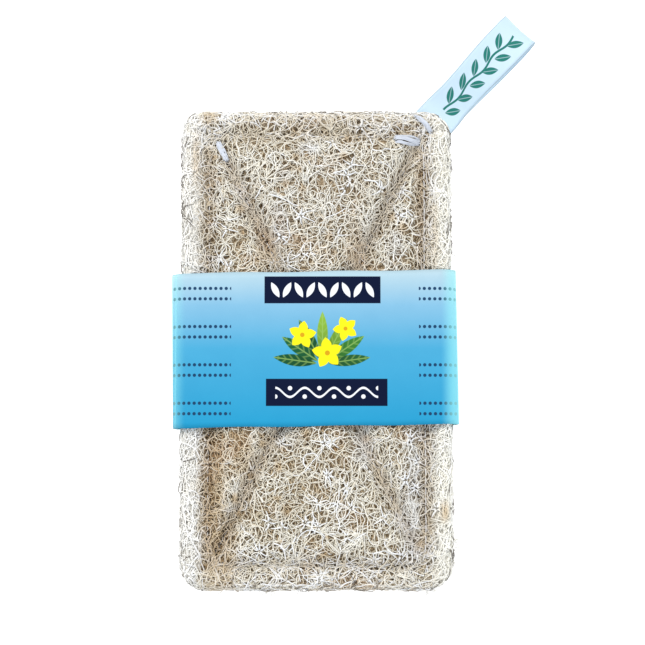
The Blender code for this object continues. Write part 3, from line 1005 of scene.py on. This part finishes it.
def stitches_along(route, side, sunk, draw):
    """Lock stitches along a route on the plan: each lies sunk in the mat and dives in at its ends."""
    lengths = [0.0]
    for start, end in zip(route, route[1:]):
        lengths.append(lengths[-1] + (end - start).length)

    def at(reach):
        index = max(i for i, value in enumerate(lengths[:-1]) if value <= max(reach, 0.0))
        share = (reach - lengths[index]) / max(lengths[index + 1] - lengths[index], 1e-9)
        return route[index].lerp(route[index + 1], min(max(share, 0.0), 1.0))

    reach = 0.0
    while reach + STITCH_LENGTH < lengths[-1]:
        line = []
        for share, lift in STITCH_ARCH:
            spot = at(reach + (STITCH_LENGTH - STITCH_GAP) * share)
            place, normal = surface_at(spot.x, spot.y, side)
            line.append((place + normal * (lift - sunk), 0.0 if share in (0.0, 1.0) else STITCH_RADIUS))
        yield line, 0.5
        reach += STITCH_LENGTH * draw.uniform(0.96, 1.04)


def border_plan():
    """Corner and side points of the stitched rectangle."""
    plan = []
    for sign_x, sign_y in ((1, -1), (1, 1), (-1, 1), (-1, -1)):
        turn = math.atan2(sign_y, sign_x)
        for lean in (-1.0, 0.0, 1.0):
            angle = turn + lean * math.radians(45.0)
            x = sign_x * (SEAM_HALF_WIDTH - SEAM_CORNER_RADIUS) + SEAM_CORNER_RADIUS * math.cos(angle)
            y = sign_y * (SEAM_HALF_LENGTH - SEAM_CORNER_RADIUS) + SEAM_CORNER_RADIUS * math.sin(angle)
            plan.append(Vector((x + PAD_OFFSET_X, y + PAD_OFFSET_Y)))
    return plan


def satin_bar(line, width, taper, side, draw):
    """A bar of dense back stitches: threads side by side along a bent line, closer at its ends."""
    start, bend, end = line
    threads = max(5, round(width / BAR_THREAD_PITCH))
    for index in range(threads):
        across = (index + 0.5) / threads - 0.5
        begin, stop = draw.uniform(0.0, 0.12), draw.uniform(0.88, 1.0)
        line = []
        for step in range(BAR_STEPS + 1):
            share = begin + (stop - begin) * step / BAR_STEPS
            middle = start.lerp(bend, share).lerp(bend.lerp(end, share), share)
            along = (bend - start).lerp(end - bend, share).normalized()
            narrowed = 1.0 - taper * (2.0 * share - 1.0) ** 2
            spot = middle + Vector((-along.y, along.x)) * across * width * narrowed
            place, normal = surface_at(spot.x, spot.y, side)
            if step in (0, BAR_STEPS):
                line.append((place - normal * 0.0006, 0.0))
                continue
            lift = BAR_RISE * (2.0 - (2.0 * across) ** 2) + draw.uniform(-0.00007, 0.00007)
            line.append((place + normal * lift, BAR_THREAD_RADIUS * draw.uniform(0.85, 1.1)))
        yield line, 0.5


def tack_lines():
    """The bars' names, lines on the plan, widths and tapers."""
    lower, upper = CROSS_SEAMS[1]
    left_start = upper + OFFSET
    left_end = left_start + (lower - upper).normalized() * 0.0083
    right_end = Vector((SEAM_HALF_WIDTH, SEAM_HALF_LENGTH - 0.0014)) + OFFSET
    right_start = right_end - Vector((0.0096, 0.0))
    loop_line = (Vector((0.0282, 0.0678)), Vector((0.0330, 0.0668)), Vector((0.0343, 0.0624)))
    return (
        ("corner_tack_left", (left_start, left_start.lerp(left_end, 0.5), left_end), 0.0026, 0.6),
        ("corner_tack_right", (right_start, right_start.lerp(right_end, 0.5), right_end), 0.0025, 0.1),
        ("loop_tack", loop_line, 0.0011, 0.3),
    )


def quilting():
    """The stitched rectangle, the cross in it and the bars of stitches, on both faces."""
    bar_finish = thread_material("bar_cotton", *BAR_COTTON)
    seam_finish = thread_material("seam_cotton", *SEAM_COTTON)
    for side, face in ((FRONT, "front"), (BACK, "back")):
        draw = random.Random(71 + side)
        plan = border_plan()
        strands = [*stitches_along(plan[1:5], side, -0.0005, draw)]
        strands += stitches_along(plan[4:] + plan[:2], side, 0.0003, draw)
        for start, end in CROSS_SEAMS:
            strands += stitches_along([start + OFFSET, end + OFFSET], side, 0.0002, draw)
        seams = strand_piece(f"seam_stitches_{face}", strands, seam_finish, 4)
        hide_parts(*(f"{seam}_{face}" for seam in SEAM_NODES))
        for name, line, width, taper in tack_lines():
            threads = [*satin_bar(line, width, taper, side, draw)]
            bar = strand_piece(f"{name}_stitches_{face}", threads, bar_finish, 6)
            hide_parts(f"{name}_{face}")


# Paper sleeve
def sleeve_route():
    """The sleeve's section: round the pad from its inner end to its outer end on the underside."""
    half_flat = BAND_WIDTH / 2 - BAND_EDGE_RADIUS
    half_rise = BAND_HEIGHT / 2 - BAND_EDGE_RADIUS
    inner_end, outer_end, inner_level = -0.011, 0.006, 0.00035
    route = [(x, inner_level) for x in np.linspace(inner_end, outer_end + 0.001, 8)]
    route += [(x, 0.0) for x in np.linspace(outer_end + 0.005, half_flat, 10)[:-1]]
    for corner in range(4):
        sign_x, sign_z = ((1, -1), (1, 1), (-1, 1), (-1, -1))[corner]
        for step in range(13):
            turn = math.radians(90.0) * (corner - 1 + step / 12)
            x = sign_x * half_flat + BAND_EDGE_RADIUS * math.cos(turn)
            z = sign_z * half_rise + BAND_EDGE_RADIUS * math.sin(turn)
            route.append((x, MID_HEIGHT + z))
        if corner == 1:
            route += [(x, BAND_HEIGHT) for x in np.linspace(half_flat, -half_flat, 42)[1:-1]]
    route += [(x, 0.0) for x in np.linspace(-half_flat, outer_end, 14)[1:]]
    return route


def paper_lift(x, y, z):
    """How far the paper stands off its flat shape: soft swells and a faint fold across it."""
    if z < MID_HEIGHT:
        return 0.0
    swell = 0.00022 * noise.noise(Vector((x * 46.0, y * 60.0, 3.0)))
    fold_line = 0.0105 + 0.0012 * math.sin(x * 70.0)
    fold = 0.00022 * math.exp(-(((y - fold_line) / 0.0009) ** 2)) * smooth_step(x, -0.020, -0.004)
    return swell + fold


def extruded_row(bm, edges):
    """Extrudes a row of edges. Returns the new row's vertices and edges."""
    grown = bmesh.ops.extrude_edge_only(bm, edges=edges)["geom"]
    verts = [part for part in grown if isinstance(part, bmesh.types.BMVert)]
    new_edges = [part for part in grown if isinstance(part, bmesh.types.BMEdge)]
    return verts, [edge for edge in new_edges if all(vert in verts for vert in edge.verts)]


def sleeve_mesh():
    """A strip of paper bent round the section, with wavy cut edges and a little askew."""
    rows = 26
    bm = bmesh.new()
    line = [bm.verts.new((x, -BAND_LENGTH / 2, z)) for x, z in sleeve_route()]
    edges = [bm.edges.new(pair) for pair in zip(line, line[1:])]
    for _ in range(rows):
        far, edges = extruded_row(bm, edges)
        bmesh.ops.translate(bm, verts=far, vec=(0.0, BAND_LENGTH / rows, 0.0))
    turn_cos, turn_sin = math.cos(BAND_SKEW), math.sin(BAND_SKEW)
    for vert in bm.verts:
        x, y, z = vert.co
        z += paper_lift(x, y, z)
        at_edge = smooth_step(abs(y), BAND_LENGTH / 2 - 0.002, BAND_LENGTH / 2)
        y += 0.00012 * math.sin(x * 210.0) * at_edge
        vert.co = (x * turn_cos - y * turn_sin, x * turn_sin + y * turn_cos, z)
    bmesh.ops.recalc_face_normals(bm, faces=bm.faces)
    top = max(bm.faces, key=lambda face: face.calc_center_median().z)
    if top.normal.z < 0.0:
        bmesh.ops.reverse_faces(bm, faces=bm.faces)
    return finished_mesh("paper_sleeve", bm)


# Prints
def mask_group(name, sizes, outputs=("Mask",)):
    """A node group on a place, a middle and some sizes: its tree, what it is given, what it puts
    out, and how far the place lies from the middle on X and Y."""
    labels = ("Middle X", "Middle Y", *sizes)
    inputs = [("Place", "Vector")] + [(label, "Float") for label in labels]
    tree, given, leave = new_group(name, inputs, [(label, "Float") for label in outputs])
    place = axes(tree, given["Place"])
    away = [minus(tree, place[axis], given[f"Middle {axis}"]) for axis in "XY"]
    return tree, given, leave, away


def box_mask_group():
    """1 inside a box, with soft printed edges."""
    tree, given, leave, away = mask_group("box_mask", ("Half X", "Half Y"))
    masks = []
    for axis, value in zip("XY", away):
        past = minus(tree, positive(tree, value), given[f"Half {axis}"])
        masks.append(ranged(tree, past, -0.00008, 0.00008, 1.0, 0.0))
    tree.links.new(times(tree, *masks), leave["Mask"])
    return tree


def leaf_mask_group():
    """1 inside a pointed leaf, and the shares of its half length and half width."""
    sizes, outputs = ("Angle", "Length", "Width"), ("Mask", "Along", "Across")
    tree, given, leave, (away_x, away_y) = mask_group("leaf_mask", sizes, outputs)
    cosine = math_node(tree, "COSINE", given["Angle"])
    sine = math_node(tree, "SINE", given["Angle"])
    along = math_node(tree, "MULTIPLY_ADD", away_x, cosine, times(tree, away_y, sine))
    across = minus(tree, times(tree, away_y, cosine), times(tree, away_x, sine))
    along = math_node(tree, "DIVIDE", along, given["Length"])
    across = math_node(tree, "DIVIDE", across, given["Width"])
    edge = minus(tree, 1.0, times(tree, along, along))
    mask = ranged(tree, minus(tree, positive(tree, across), edge), -0.08, 0.04, 1.0, 0.0)
    for label, value in zip(outputs, (mask, along, across)):
        tree.links.new(value, leave[label])
    return tree


def dot_mask_group():
    """1 inside a round dot."""
    tree, given, leave, away = mask_group("dot_mask", ("Radius",))
    squares = [times(tree, value, value) for value in away]
    distance = math_node(tree, "SQRT", math_node(tree, "ADD", *squares))
    past = minus(tree, distance, given["Radius"])
    tree.links.new(ranged(tree, past, -0.00006, 0.00006, 1.0, 0.0), leave["Mask"])
    return tree


BOX_MASK = box_mask_group()
LEAF_MASK = leaf_mask_group()
DOT_MASK = dot_mask_group()


def motif(tree, group, place, x, y, **values):
    """A printed motif of a mask group, its middle at x, y. Returns its outputs."""
    values = {"Place": place, "Middle_X": x, "Middle_Y": y, **values}
    return node(tree, "ShaderNodeGroup", node_tree=group, **values).outputs


def repeated(tree, value, start, pitch):
    """A coordinate that runs from -pitch/2 to pitch/2 again and again, 0 at start."""
    return math_node(tree, "WRAP", minus(tree, value, start), pitch / 2, -pitch / 2)


def joined_place(tree, x, y):
    """A place from X and Y."""
    return node(tree, "ShaderNodeCombineXYZ", X=x, Y=y).outputs[0]


def strongest(tree, masks):
    """One mask that is 1 wherever any of these is."""
    whole = masks[0]
    for mask in masks[1:]:
        whole = math_node(tree, "MAXIMUM", whole, mask)
    return whole


NAVY = (0.002, 0.006, 0.030)
NAVY_DOTS = (0.012, 0.05, 0.12)
WHITE_INK = (0.80, 0.82, 0.86)
LEAF_SHADE = (0.006, 0.045, 0.016)
LEAF_VEIN = (0.30, 0.50, 0.13)
PETAL_YELLOW = (0.86, 0.76, 0.012)
HEART_ORANGE = (0.62, 0.33, 0.010)
WAVE_PITCH = 0.0084
WAVE_HEIGHT = 0.0013
DOT_PITCH = 0.0015
NOSEGAY_LEAVES = (
    # degrees, length, width, ink
    (8, 0.0124, 0.0032, (0.020, 0.105, 0.030)),
    (172, 0.0128, 0.0034, (0.010, 0.080, 0.028)),
    (34, 0.0130, 0.0035, (0.045, 0.200, 0.030)),
    (146, 0.0126, 0.0035, (0.012, 0.110, 0.040)),
    (62, 0.0134, 0.0032, (0.180, 0.360, 0.035)),
    (118, 0.0130, 0.0034, (0.010, 0.085, 0.030)),
    (90, 0.0136, 0.0032, (0.240, 0.430, 0.045)),
)
FLOWERS = (
    # x and y from the foot, petal size, first petal's degrees
    (-0.0058, 0.0084, 0.0038, 10),
    (0.0066, 0.0102, 0.0034, 40),
    (0.0014, 0.0032, 0.0042, 25),
)
PAPER_BLUES = (
    # share of the way down, colour
    (0.0, (0.43, 0.585, 0.66)),
    (0.22, (0.205, 0.445, 0.63)),
    (0.50, (0.062, 0.350, 0.575)),
    (1.0, (0.016, 0.290, 0.52)),
)
# Painted highlight where the paper bends round the pad's sides, partly paler scuffed paper
FOLD_HIGHLIGHT_CYAN = (0.36, 0.93, 0.92)
CLOUD_TINT = (0.55, 0.72, 0.80)
GRAIN_TINT = (0.9, 0.9, 0.9)


def panels(tree, colour, place, x, y):
    """Two navy panels: a garland of white leaves in the upper one, a wave with dots in the lower."""
    for middle, half_width in ((PANEL_UP, 0.0167), (PANEL_LOW, 0.0174)):
        box = motif(tree, BOX_MASK, place, *middle, Half_X=half_width, Half_Y=0.0039)
        colour = mixed(tree, box["Mask"], colour, NAVY)
    garland = []
    for index in range(9):
        leaf_x = PANEL_UP[0] + (index - 4) * 0.0034
        turn = math.radians(62.0 if index % 2 else 118.0)
        leaf = motif(tree, LEAF_MASK, place, leaf_x, PANEL_UP[1], Angle=turn, Length=0.0025, Width=0.0009)
        garland.append(leaf["Mask"])
    colour = mixed(tree, strongest(tree, garland), colour, WHITE_INK)
    middle_x, middle_y = PANEL_LOW
    turned = times(tree, minus(tree, x, middle_x), 2.0 * math.pi / WAVE_PITCH)
    wave = math_node(tree, "MULTIPLY_ADD", math_node(tree, "SINE", turned), WAVE_HEIGHT, middle_y)
    line = positive(tree, minus(tree, y, wave))
    ornament = [ranged(tree, line, 0.00026, 0.00038, 1.0, 0.0)]
    for phase, rise in ((0.25, -0.0012), (0.75, 0.0012)):
        cell = joined_place(tree, repeated(tree, x, middle_x + phase * WAVE_PITCH, WAVE_PITCH), y)
        ornament.append(motif(tree, DOT_MASK, cell, 0.0, middle_y + rise, Radius=0.00062)["Mask"])
    inside = motif(tree, BOX_MASK, place, middle_x, middle_y, Half_X=0.0147, Half_Y=0.0034)["Mask"]
    return mixed(tree, times(tree, strongest(tree, ornament), inside), colour, WHITE_INK)


def ray(foot, degrees, reach):
    """The point this far from a foot in a direction."""
    turn = math.radians(degrees)
    return foot[0] + math.cos(turn) * reach, foot[1] + math.sin(turn) * reach


def nosegay(tree, colour, place):
    """A bunch of green leaves fanned from one foot, with three yellow flowers in it."""
    for degrees, length, width, ink in NOSEGAY_LEAVES:
        sizes = {"Angle": math.radians(degrees), "Length": length / 2, "Width": width / 2}
        leaf = motif(tree, LEAF_MASK, place, *ray(NOSEGAY_FOOT, degrees, length * 0.62), **sizes)
        away = positive(tree, leaf["Across"])
        slant = math_node(tree, "MULTIPLY_ADD", away, -2.4, times(tree, leaf["Along"], 9.0))
        ribs = ranged(tree, math_node(tree, "SINE", times(tree, slant, 2.2)), 0.2, 1.0, 0.0, 0.3)
        vein = strongest(tree, [ranged(tree, away, 0.04, 0.16, 0.6, 0.0), ribs])
        shaded = mixed(tree, ranged(tree, leaf["Along"], -1.0, 0.9, 0.55, 0.0), ink, LEAF_SHADE)
        colour = mixed(tree, leaf["Mask"], colour, mixed(tree, vein, shaded, LEAF_VEIN))
    for x, y, size, first in FLOWERS:
        heart = (NOSEGAY_FOOT[0] + x, NOSEGAY_FOOT[1] + y)
        petals = []
        for degrees in range(first, first + 360, 72):
            sizes = {"Angle": math.radians(degrees), "Length": size * 0.56, "Width": size * 0.36}
            petals.append(motif(tree, LEAF_MASK, place, *ray(heart, degrees, size * 0.52), **sizes)["Mask"])
        colour = mixed(tree, strongest(tree, petals), colour, PETAL_YELLOW)
        dot = motif(tree, DOT_MASK, place, *heart, Radius=size * 0.17)
        colour = mixed(tree, dot["Mask"], colour, HEART_ORANGE)
    return colour


def dotted_rows(tree, colour, place, x, y):
    """Double rows of small navy dots at both sides, in four pairs down the sleeve."""
    across = repeated(tree, x, 0.0, DOT_PITCH)
    cell = joined_place(tree, across, positive(tree, repeated(tree, y, ROWS_MIDDLE, ROWS_PITCH)))
    dots = motif(tree, DOT_MASK, cell, 0.0, DOT_PITCH, Radius=0.00048)["Mask"]
    fields = [
        motif(tree, BOX_MASK, place, middle_x, 0.0, Half_X=half, Half_Y=BAND_LENGTH / 2 - 0.001)["Mask"]
        for middle_x, half in ((-0.03250, 0.00845), (0.03575, 0.00585))
    ]
    return mixed(tree, times(tree, dots, strongest(tree, fields)), colour, NAVY_DOTS)


def paper_blue(tree, y):
    """The paper's blue, which deepens down the sleeve."""
    down = ranged(tree, y, BAND_LENGTH / 2, -BAND_LENGTH / 2, smooth=False)
    ramp = node(tree, "ShaderNodeValToRGB", Fac=down)
    ramp.color_ramp.elements[1].position = PAPER_BLUES[-1][0]
    for share, _ in PAPER_BLUES[1:-1]:
        ramp.color_ramp.elements.new(share)
    for element, (_, colour) in zip(ramp.color_ramp.elements, PAPER_BLUES):
        element.color = (*colour, 1.0)
    return ramp.outputs["Color"]


def paper_material():
    """Coated paper: a sky blue that deepens towards one edge, with panels and a nosegay, and a painted
    highlight along its folds.
    """
    made, shader, tree = new_material("sleeve_paper", specular=0.08)
    place = object_coordinates(tree)
    x, y, z = axes(tree, place)
    plain = paper_blue(tree, y)
    printed = nosegay(tree, panels(tree, plain, place, x, y), place)
    printed = dotted_rows(tree, printed, place, x, y)
    colour = mixed(tree, ranged(tree, z, MID_HEIGHT, MID_HEIGHT + 0.001), plain, printed)
    # Painted highlight along the folds: a bright crease line, a lighter band over the bend, wider on the
    # right side
    side = BAND_WIDTH / 2
    across = positive(tree, x)
    crease = ranged(tree, positive(tree, minus(tree, across, side - 0.0012)), 0.0001, 0.0006, 0.38, 0.0)
    rounded_highlight = ranged(tree, across, side - 0.0045, side - 0.0008, 0.0, 0.25)
    right = ranged(tree, x, side - 0.0055, side - 0.0008, 0.0, 0.5)
    colour = mixed(tree, strongest(tree, [crease, rounded_highlight, right]), colour, FOLD_HIGHLIGHT_CYAN)
    cloudy = ranged(tree, noise_value(tree, place, 130.0, 3.0, 0.6), 0.3, 0.7, 0.0, 0.10)
    colour = mixed(tree, cloudy, colour, CLOUD_TINT, "MULTIPLY")
    grain = noise_value(tree, place, 2600.0, 3.0, 0.6)
    colour = mixed(tree, ranged(tree, grain, 0.3, 0.7, 0.0, 0.16), colour, GRAIN_TINT, "MULTIPLY")
    rough = ranged(tree, grain, 0.3, 0.7, 0.42, 0.52, smooth=False)
    tree.links.new(rough, shader.inputs["Roughness"])
    dress(tree, shader, colour, grain, 0.12, 0.00003)
    return made


def paper_sleeve():
    """The printed paper sleeve round the middle of the pad, glued where its ends overlap."""
    sleeve = smooth_object("paper_sleeve", sleeve_mesh(), paper_material())
    wall = sleeve.modifiers.new("Paper", "SOLIDIFY")
    wall.thickness = PAPER
    wall.offset = -1.0
    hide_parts("paper_band")


# Hanging tape
TAPE_BEND_STEPS = 16
TAPE_PLY_STEPS = 30
TAPE_COLUMNS = 12
TAPE_FLARE = 0.0002
TAPE_CUP = 0.0005
RIB_PITCH = 0.00042
WARP_PITCH = 0.00036
STEM_PITCH = 0.0054
STEM_REACH = (0.0132, 0.0434)
LEAF_REACHES = ((0.01525, 0.04145), (0.01255, 0.04405))
TAPE_WEAVE = ((0.54, 0.70, 0.83), (0.64, 0.78, 0.87))
TAPE_INK = (0.0, 0.165, 0.130)
# Painted shade of the tape's thickness along its long edges
EDGE_SHADE_GREY = (0.30, 0.38, 0.42)


def tape_side():
    """The tape's middle line seen from its side, (reach, height), from one sewn end to the other."""
    root = TAPE_THICKNESS / 2 + 0.00006
    radius = TAPE_GAP / 2 + 0.00025
    fold = TAPE_REACH - TAPE_GAP / 2 - 0.0005
    ply = [(-TAPE_SEWN_IN, root), (-TAPE_SEWN_IN / 2, root), (0.0, root)]
    for step in range(TAPE_PLY_STEPS):
        share = step / TAPE_PLY_STEPS
        parted = smooth_step(share, 0.0, TAPE_PARTED_SHARE)
        ply.append((TAPE_PARTING + (fold - TAPE_PARTING) * share, root + (radius - root) * parted))
    bend = []
    for step in range(TAPE_BEND_STEPS + 1):
        turn = math.radians(90.0 - 180.0 * step / TAPE_BEND_STEPS)
        bend.append((fold + (radius + 0.0002) * math.cos(turn), radius * math.sin(turn)))
    return ply + bend + [(reach, -height) for reach, height in reversed(ply)]


def tape_mesh():
    """The woven tape as a strip, a little cupped and leaning, with a UV map of one unit to
    UV_SIZE, along it and across it. Returns the mesh and the tape's length."""
    side = tape_side()
    across = [index / TAPE_COLUMNS - 0.5 for index in range(TAPE_COLUMNS + 1)]
    bm = bmesh.new()
    rows = [[bm.verts.new((0.0, share * TAPE_WIDTH, 0.0)) for share in across]]
    edges = [bm.edges.new(pair) for pair in zip(rows[0], rows[0][1:])]
    for _ in side[1:]:
        fresh, edges = extruded_row(bm, edges)
        rows.append(sorted(fresh, key=lambda vert: vert.co.y))
    ahead = Vector((math.cos(TAPE_ANGLE), math.sin(TAPE_ANGLE), 0.0))
    sideways = Vector((-ahead.y, ahead.x, 0.0))
    run = [0.0]
    for (reach, height), (next_reach, next_height) in zip(side, side[1:]):
        run.append(run[-1] + math.hypot(next_reach - reach, next_height - height))
    uv = bm.loops.layers.uv.new("tape")
    places = {}
    for verts, along, (reach, height) in zip(rows, run, side):
        outside = smooth_step(reach, 0.0, TAPE_REACH)
        roll = TAPE_ROLL * smooth_step(reach, -0.002, 0.009) * smooth_step(reach, TAPE_REACH, 0.012)
        leaning = sideways * math.cos(roll) + UP * math.sin(roll)
        for vert, share in zip(verts, across):
            places[vert] = (along / UV_SIZE, share * TAPE_WIDTH / UV_SIZE + 0.5)
            flare = TAPE_FLARE * outside * ((2.0 * share) ** 2 - 0.35)
            cup = TAPE_CUP * outside * (2.0 * share) ** 2
            local = ahead * (reach + flare) + leaning * (share * TAPE_WIDTH) + UP * (height + cup)
            vert.co = TAPE_ROOT + local
    for face in bm.faces:
        for loop in face.loops:
            loop[uv].uv = places[loop.vert]
    bmesh.ops.recalc_face_normals(bm, faces=bm.faces)
    return finished_mesh("hanging_tape", bm), run[-1]


def tape_print(tree, along, across):
    """The mask of a bowed stem with a slit leaf in each of its bends, each part cut off where its
    last whole motif ends."""
    bow = math_node(tree, "SINE", times(tree, along, math.pi / STEM_PITCH))
    stem = positive(tree, math_node(tree, "MULTIPLY_ADD", bow, -0.0005, across))
    parts = [ranged(tree, stem, 0.00028, 0.00040, 1.0, 0.0)]
    for side in (1, -1):
        cell = joined_place(tree, repeated(tree, along, side * STEM_PITCH / 4, STEM_PITCH), across)
        sizes = {"Angle": side * math.radians(38.0), "Length": 0.0026, "Width": 0.00112}
        leaf = motif(tree, LEAF_MASK, cell, 0.0, side * 0.0021, **sizes)
        slit = ranged(tree, positive(tree, leaf["Across"]), 0.05, 0.14, 0.5, 1.0)
        parts.append(times(tree, leaf["Mask"], slit))
    flat = joined_place(tree, along, across)
    masks = []
    for part, (start, end) in zip(parts, (STEM_REACH, *LEAF_REACHES)):
        half = (end - start) / 2
        inside = motif(tree, BOX_MASK, flat, start + half, 0.0, Half_X=half, Half_Y=0.0050)["Mask"]
        masks.append(times(tree, part, inside))
    return strongest(tree, masks)


def tape_material():
    """Satin-woven tape, bluish white, with fine ribs, printed in teal on its upper side, with painted shade
    along its edges.
    """
    made, shader, tree = new_material("woven_tape", 0.55, 0.25)
    u, v, _ = axes(tree, node(tree, "ShaderNodeUVMap", uv_map="tape").outputs["UV"])
    along = times(tree, u, UV_SIZE)
    across = times(tree, minus(tree, v, 0.5), UV_SIZE)
    ribs = math_node(tree, "SINE", times(tree, along, 2.0 * math.pi / RIB_PITCH))
    warp = math_node(tree, "SINE", times(tree, across, 2.0 * math.pi / WARP_PITCH))
    weave = times(tree, ribs, warp)
    colour = mixed(tree, ranged(tree, weave, -1.0, 1.0, 0.0, 0.25), *TAPE_WEAVE)
    normal = axes(tree, tree.nodes.new("ShaderNodeTexCoord").outputs["Normal"])
    printed_side = ranged(tree, normal["Z"], 0.0, 0.15, 0.0, 0.98)
    colour = mixed(tree, times(tree, tape_print(tree, along, across), printed_side), colour, TAPE_INK)
    edge = TAPE_WIDTH / 2
    # Painted shade: a grey line along both long edges, for the tape's thickness
    edge_shade = ranged(tree, positive(tree, across), edge - 0.00035, edge - 0.0001, 0.0, 0.6)
    colour = mixed(tree, edge_shade, colour, EDGE_SHADE_GREY)
    dress(tree, shader, colour, weave, 0.5, 0.00005)
    return made


def hanging_tape():
    """The folded tape that the pad hangs from."""
    mesh, length = tape_mesh()
    tape = smooth_object("hanging_tape", mesh, tape_material())
    wall = tape.modifiers.new("Tape", "SOLIDIFY")
    wall.thickness = TAPE_THICKNESS
    wall.offset = 0.0
    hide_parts("hanging_loop")


# Stage, light and camera
def table():
    """A plain white table under the pad."""
    bm = bmesh.new()
    bmesh.ops.create_grid(bm, x_segments=1, y_segments=1, size=1.5)
    bmesh.ops.translate(bm, verts=bm.verts, vec=(0.0, 0.0, -0.0002))
    mesh = finished_mesh("table_top", bm)
    made, shader, _ = new_material("white_table", 0.9, 0.1)
    shader.inputs["Base Color"].default_value = (0.9, 0.9, 0.9, 1.0)
    shader.inputs["Emission Color"].default_value = (1.0, 1.0, 1.0, 1.0)
    shader.inputs["Emission Strength"].default_value = 0.45
    mesh.materials.append(made)
    new_object("table_top", mesh)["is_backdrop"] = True


def area_light(name, place, size, power, colour):
    """A square soft light at place, turned to the middle of the sleeve's underside."""
    data = bpy.data.lights.new(name, "AREA")
    data.size = size
    data.energy = power
    data.color = colour
    lamp = new_object(name, data)
    lamp.location = place
    lamp.rotation_euler = (-place).to_track_quat("-Z", "Y").to_euler()


def lights():
    """Soft studio light from above, from the upper left, and from all round."""
    world = bpy.data.worlds.new("studio")
    world.use_nodes = True
    background = world.node_tree.nodes["Background"]
    background.inputs["Color"].default_value = (0.93, 0.96, 1.0, 1.0)
    background.inputs["Strength"].default_value = 0.64
    bpy.context.scene.world = world
    area_light("key", Vector((-0.45, 0.50, 0.75)), 0.30, 6.8, (1.0, 0.98, 0.95))
    area_light("fill", Vector((0.60, -0.30, 0.70)), 0.45, 4.0, (0.95, 0.97, 1.0))


def camera():
    """Nearly straight above the pad, a little towards its lower end."""
    data = bpy.data.cameras.new("camera")
    data.type = "PERSP"
    data.lens = CAMERA_LENS
    data.sensor_width = 36.0
    made = new_object("camera", data)
    back = Vector((0.0, -math.sin(CAMERA_TILT), math.cos(CAMERA_TILT)))
    made.location = CAMERA_AIM + back * CAMERA_DISTANCE
    made.rotation_euler = (CAMERA_TILT, 0.0, 0.0)
    bpy.context.scene.camera = made


FORM = form_mesh()
FORM_TREE = BVHTree.FromBMesh(FORM)
PITS = pits(PIT_COUNT, 5)
bpy.context.scene.view_settings.view_transform = "Standard"
camera()
loofah_pad()
quilting()
paper_sleeve()
hanging_tape()
table()
lights()
both = {"cad": CAD_BOUNDS, "visual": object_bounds()}
{key: [list(corner) for corner in box] for key, box in both.items()}
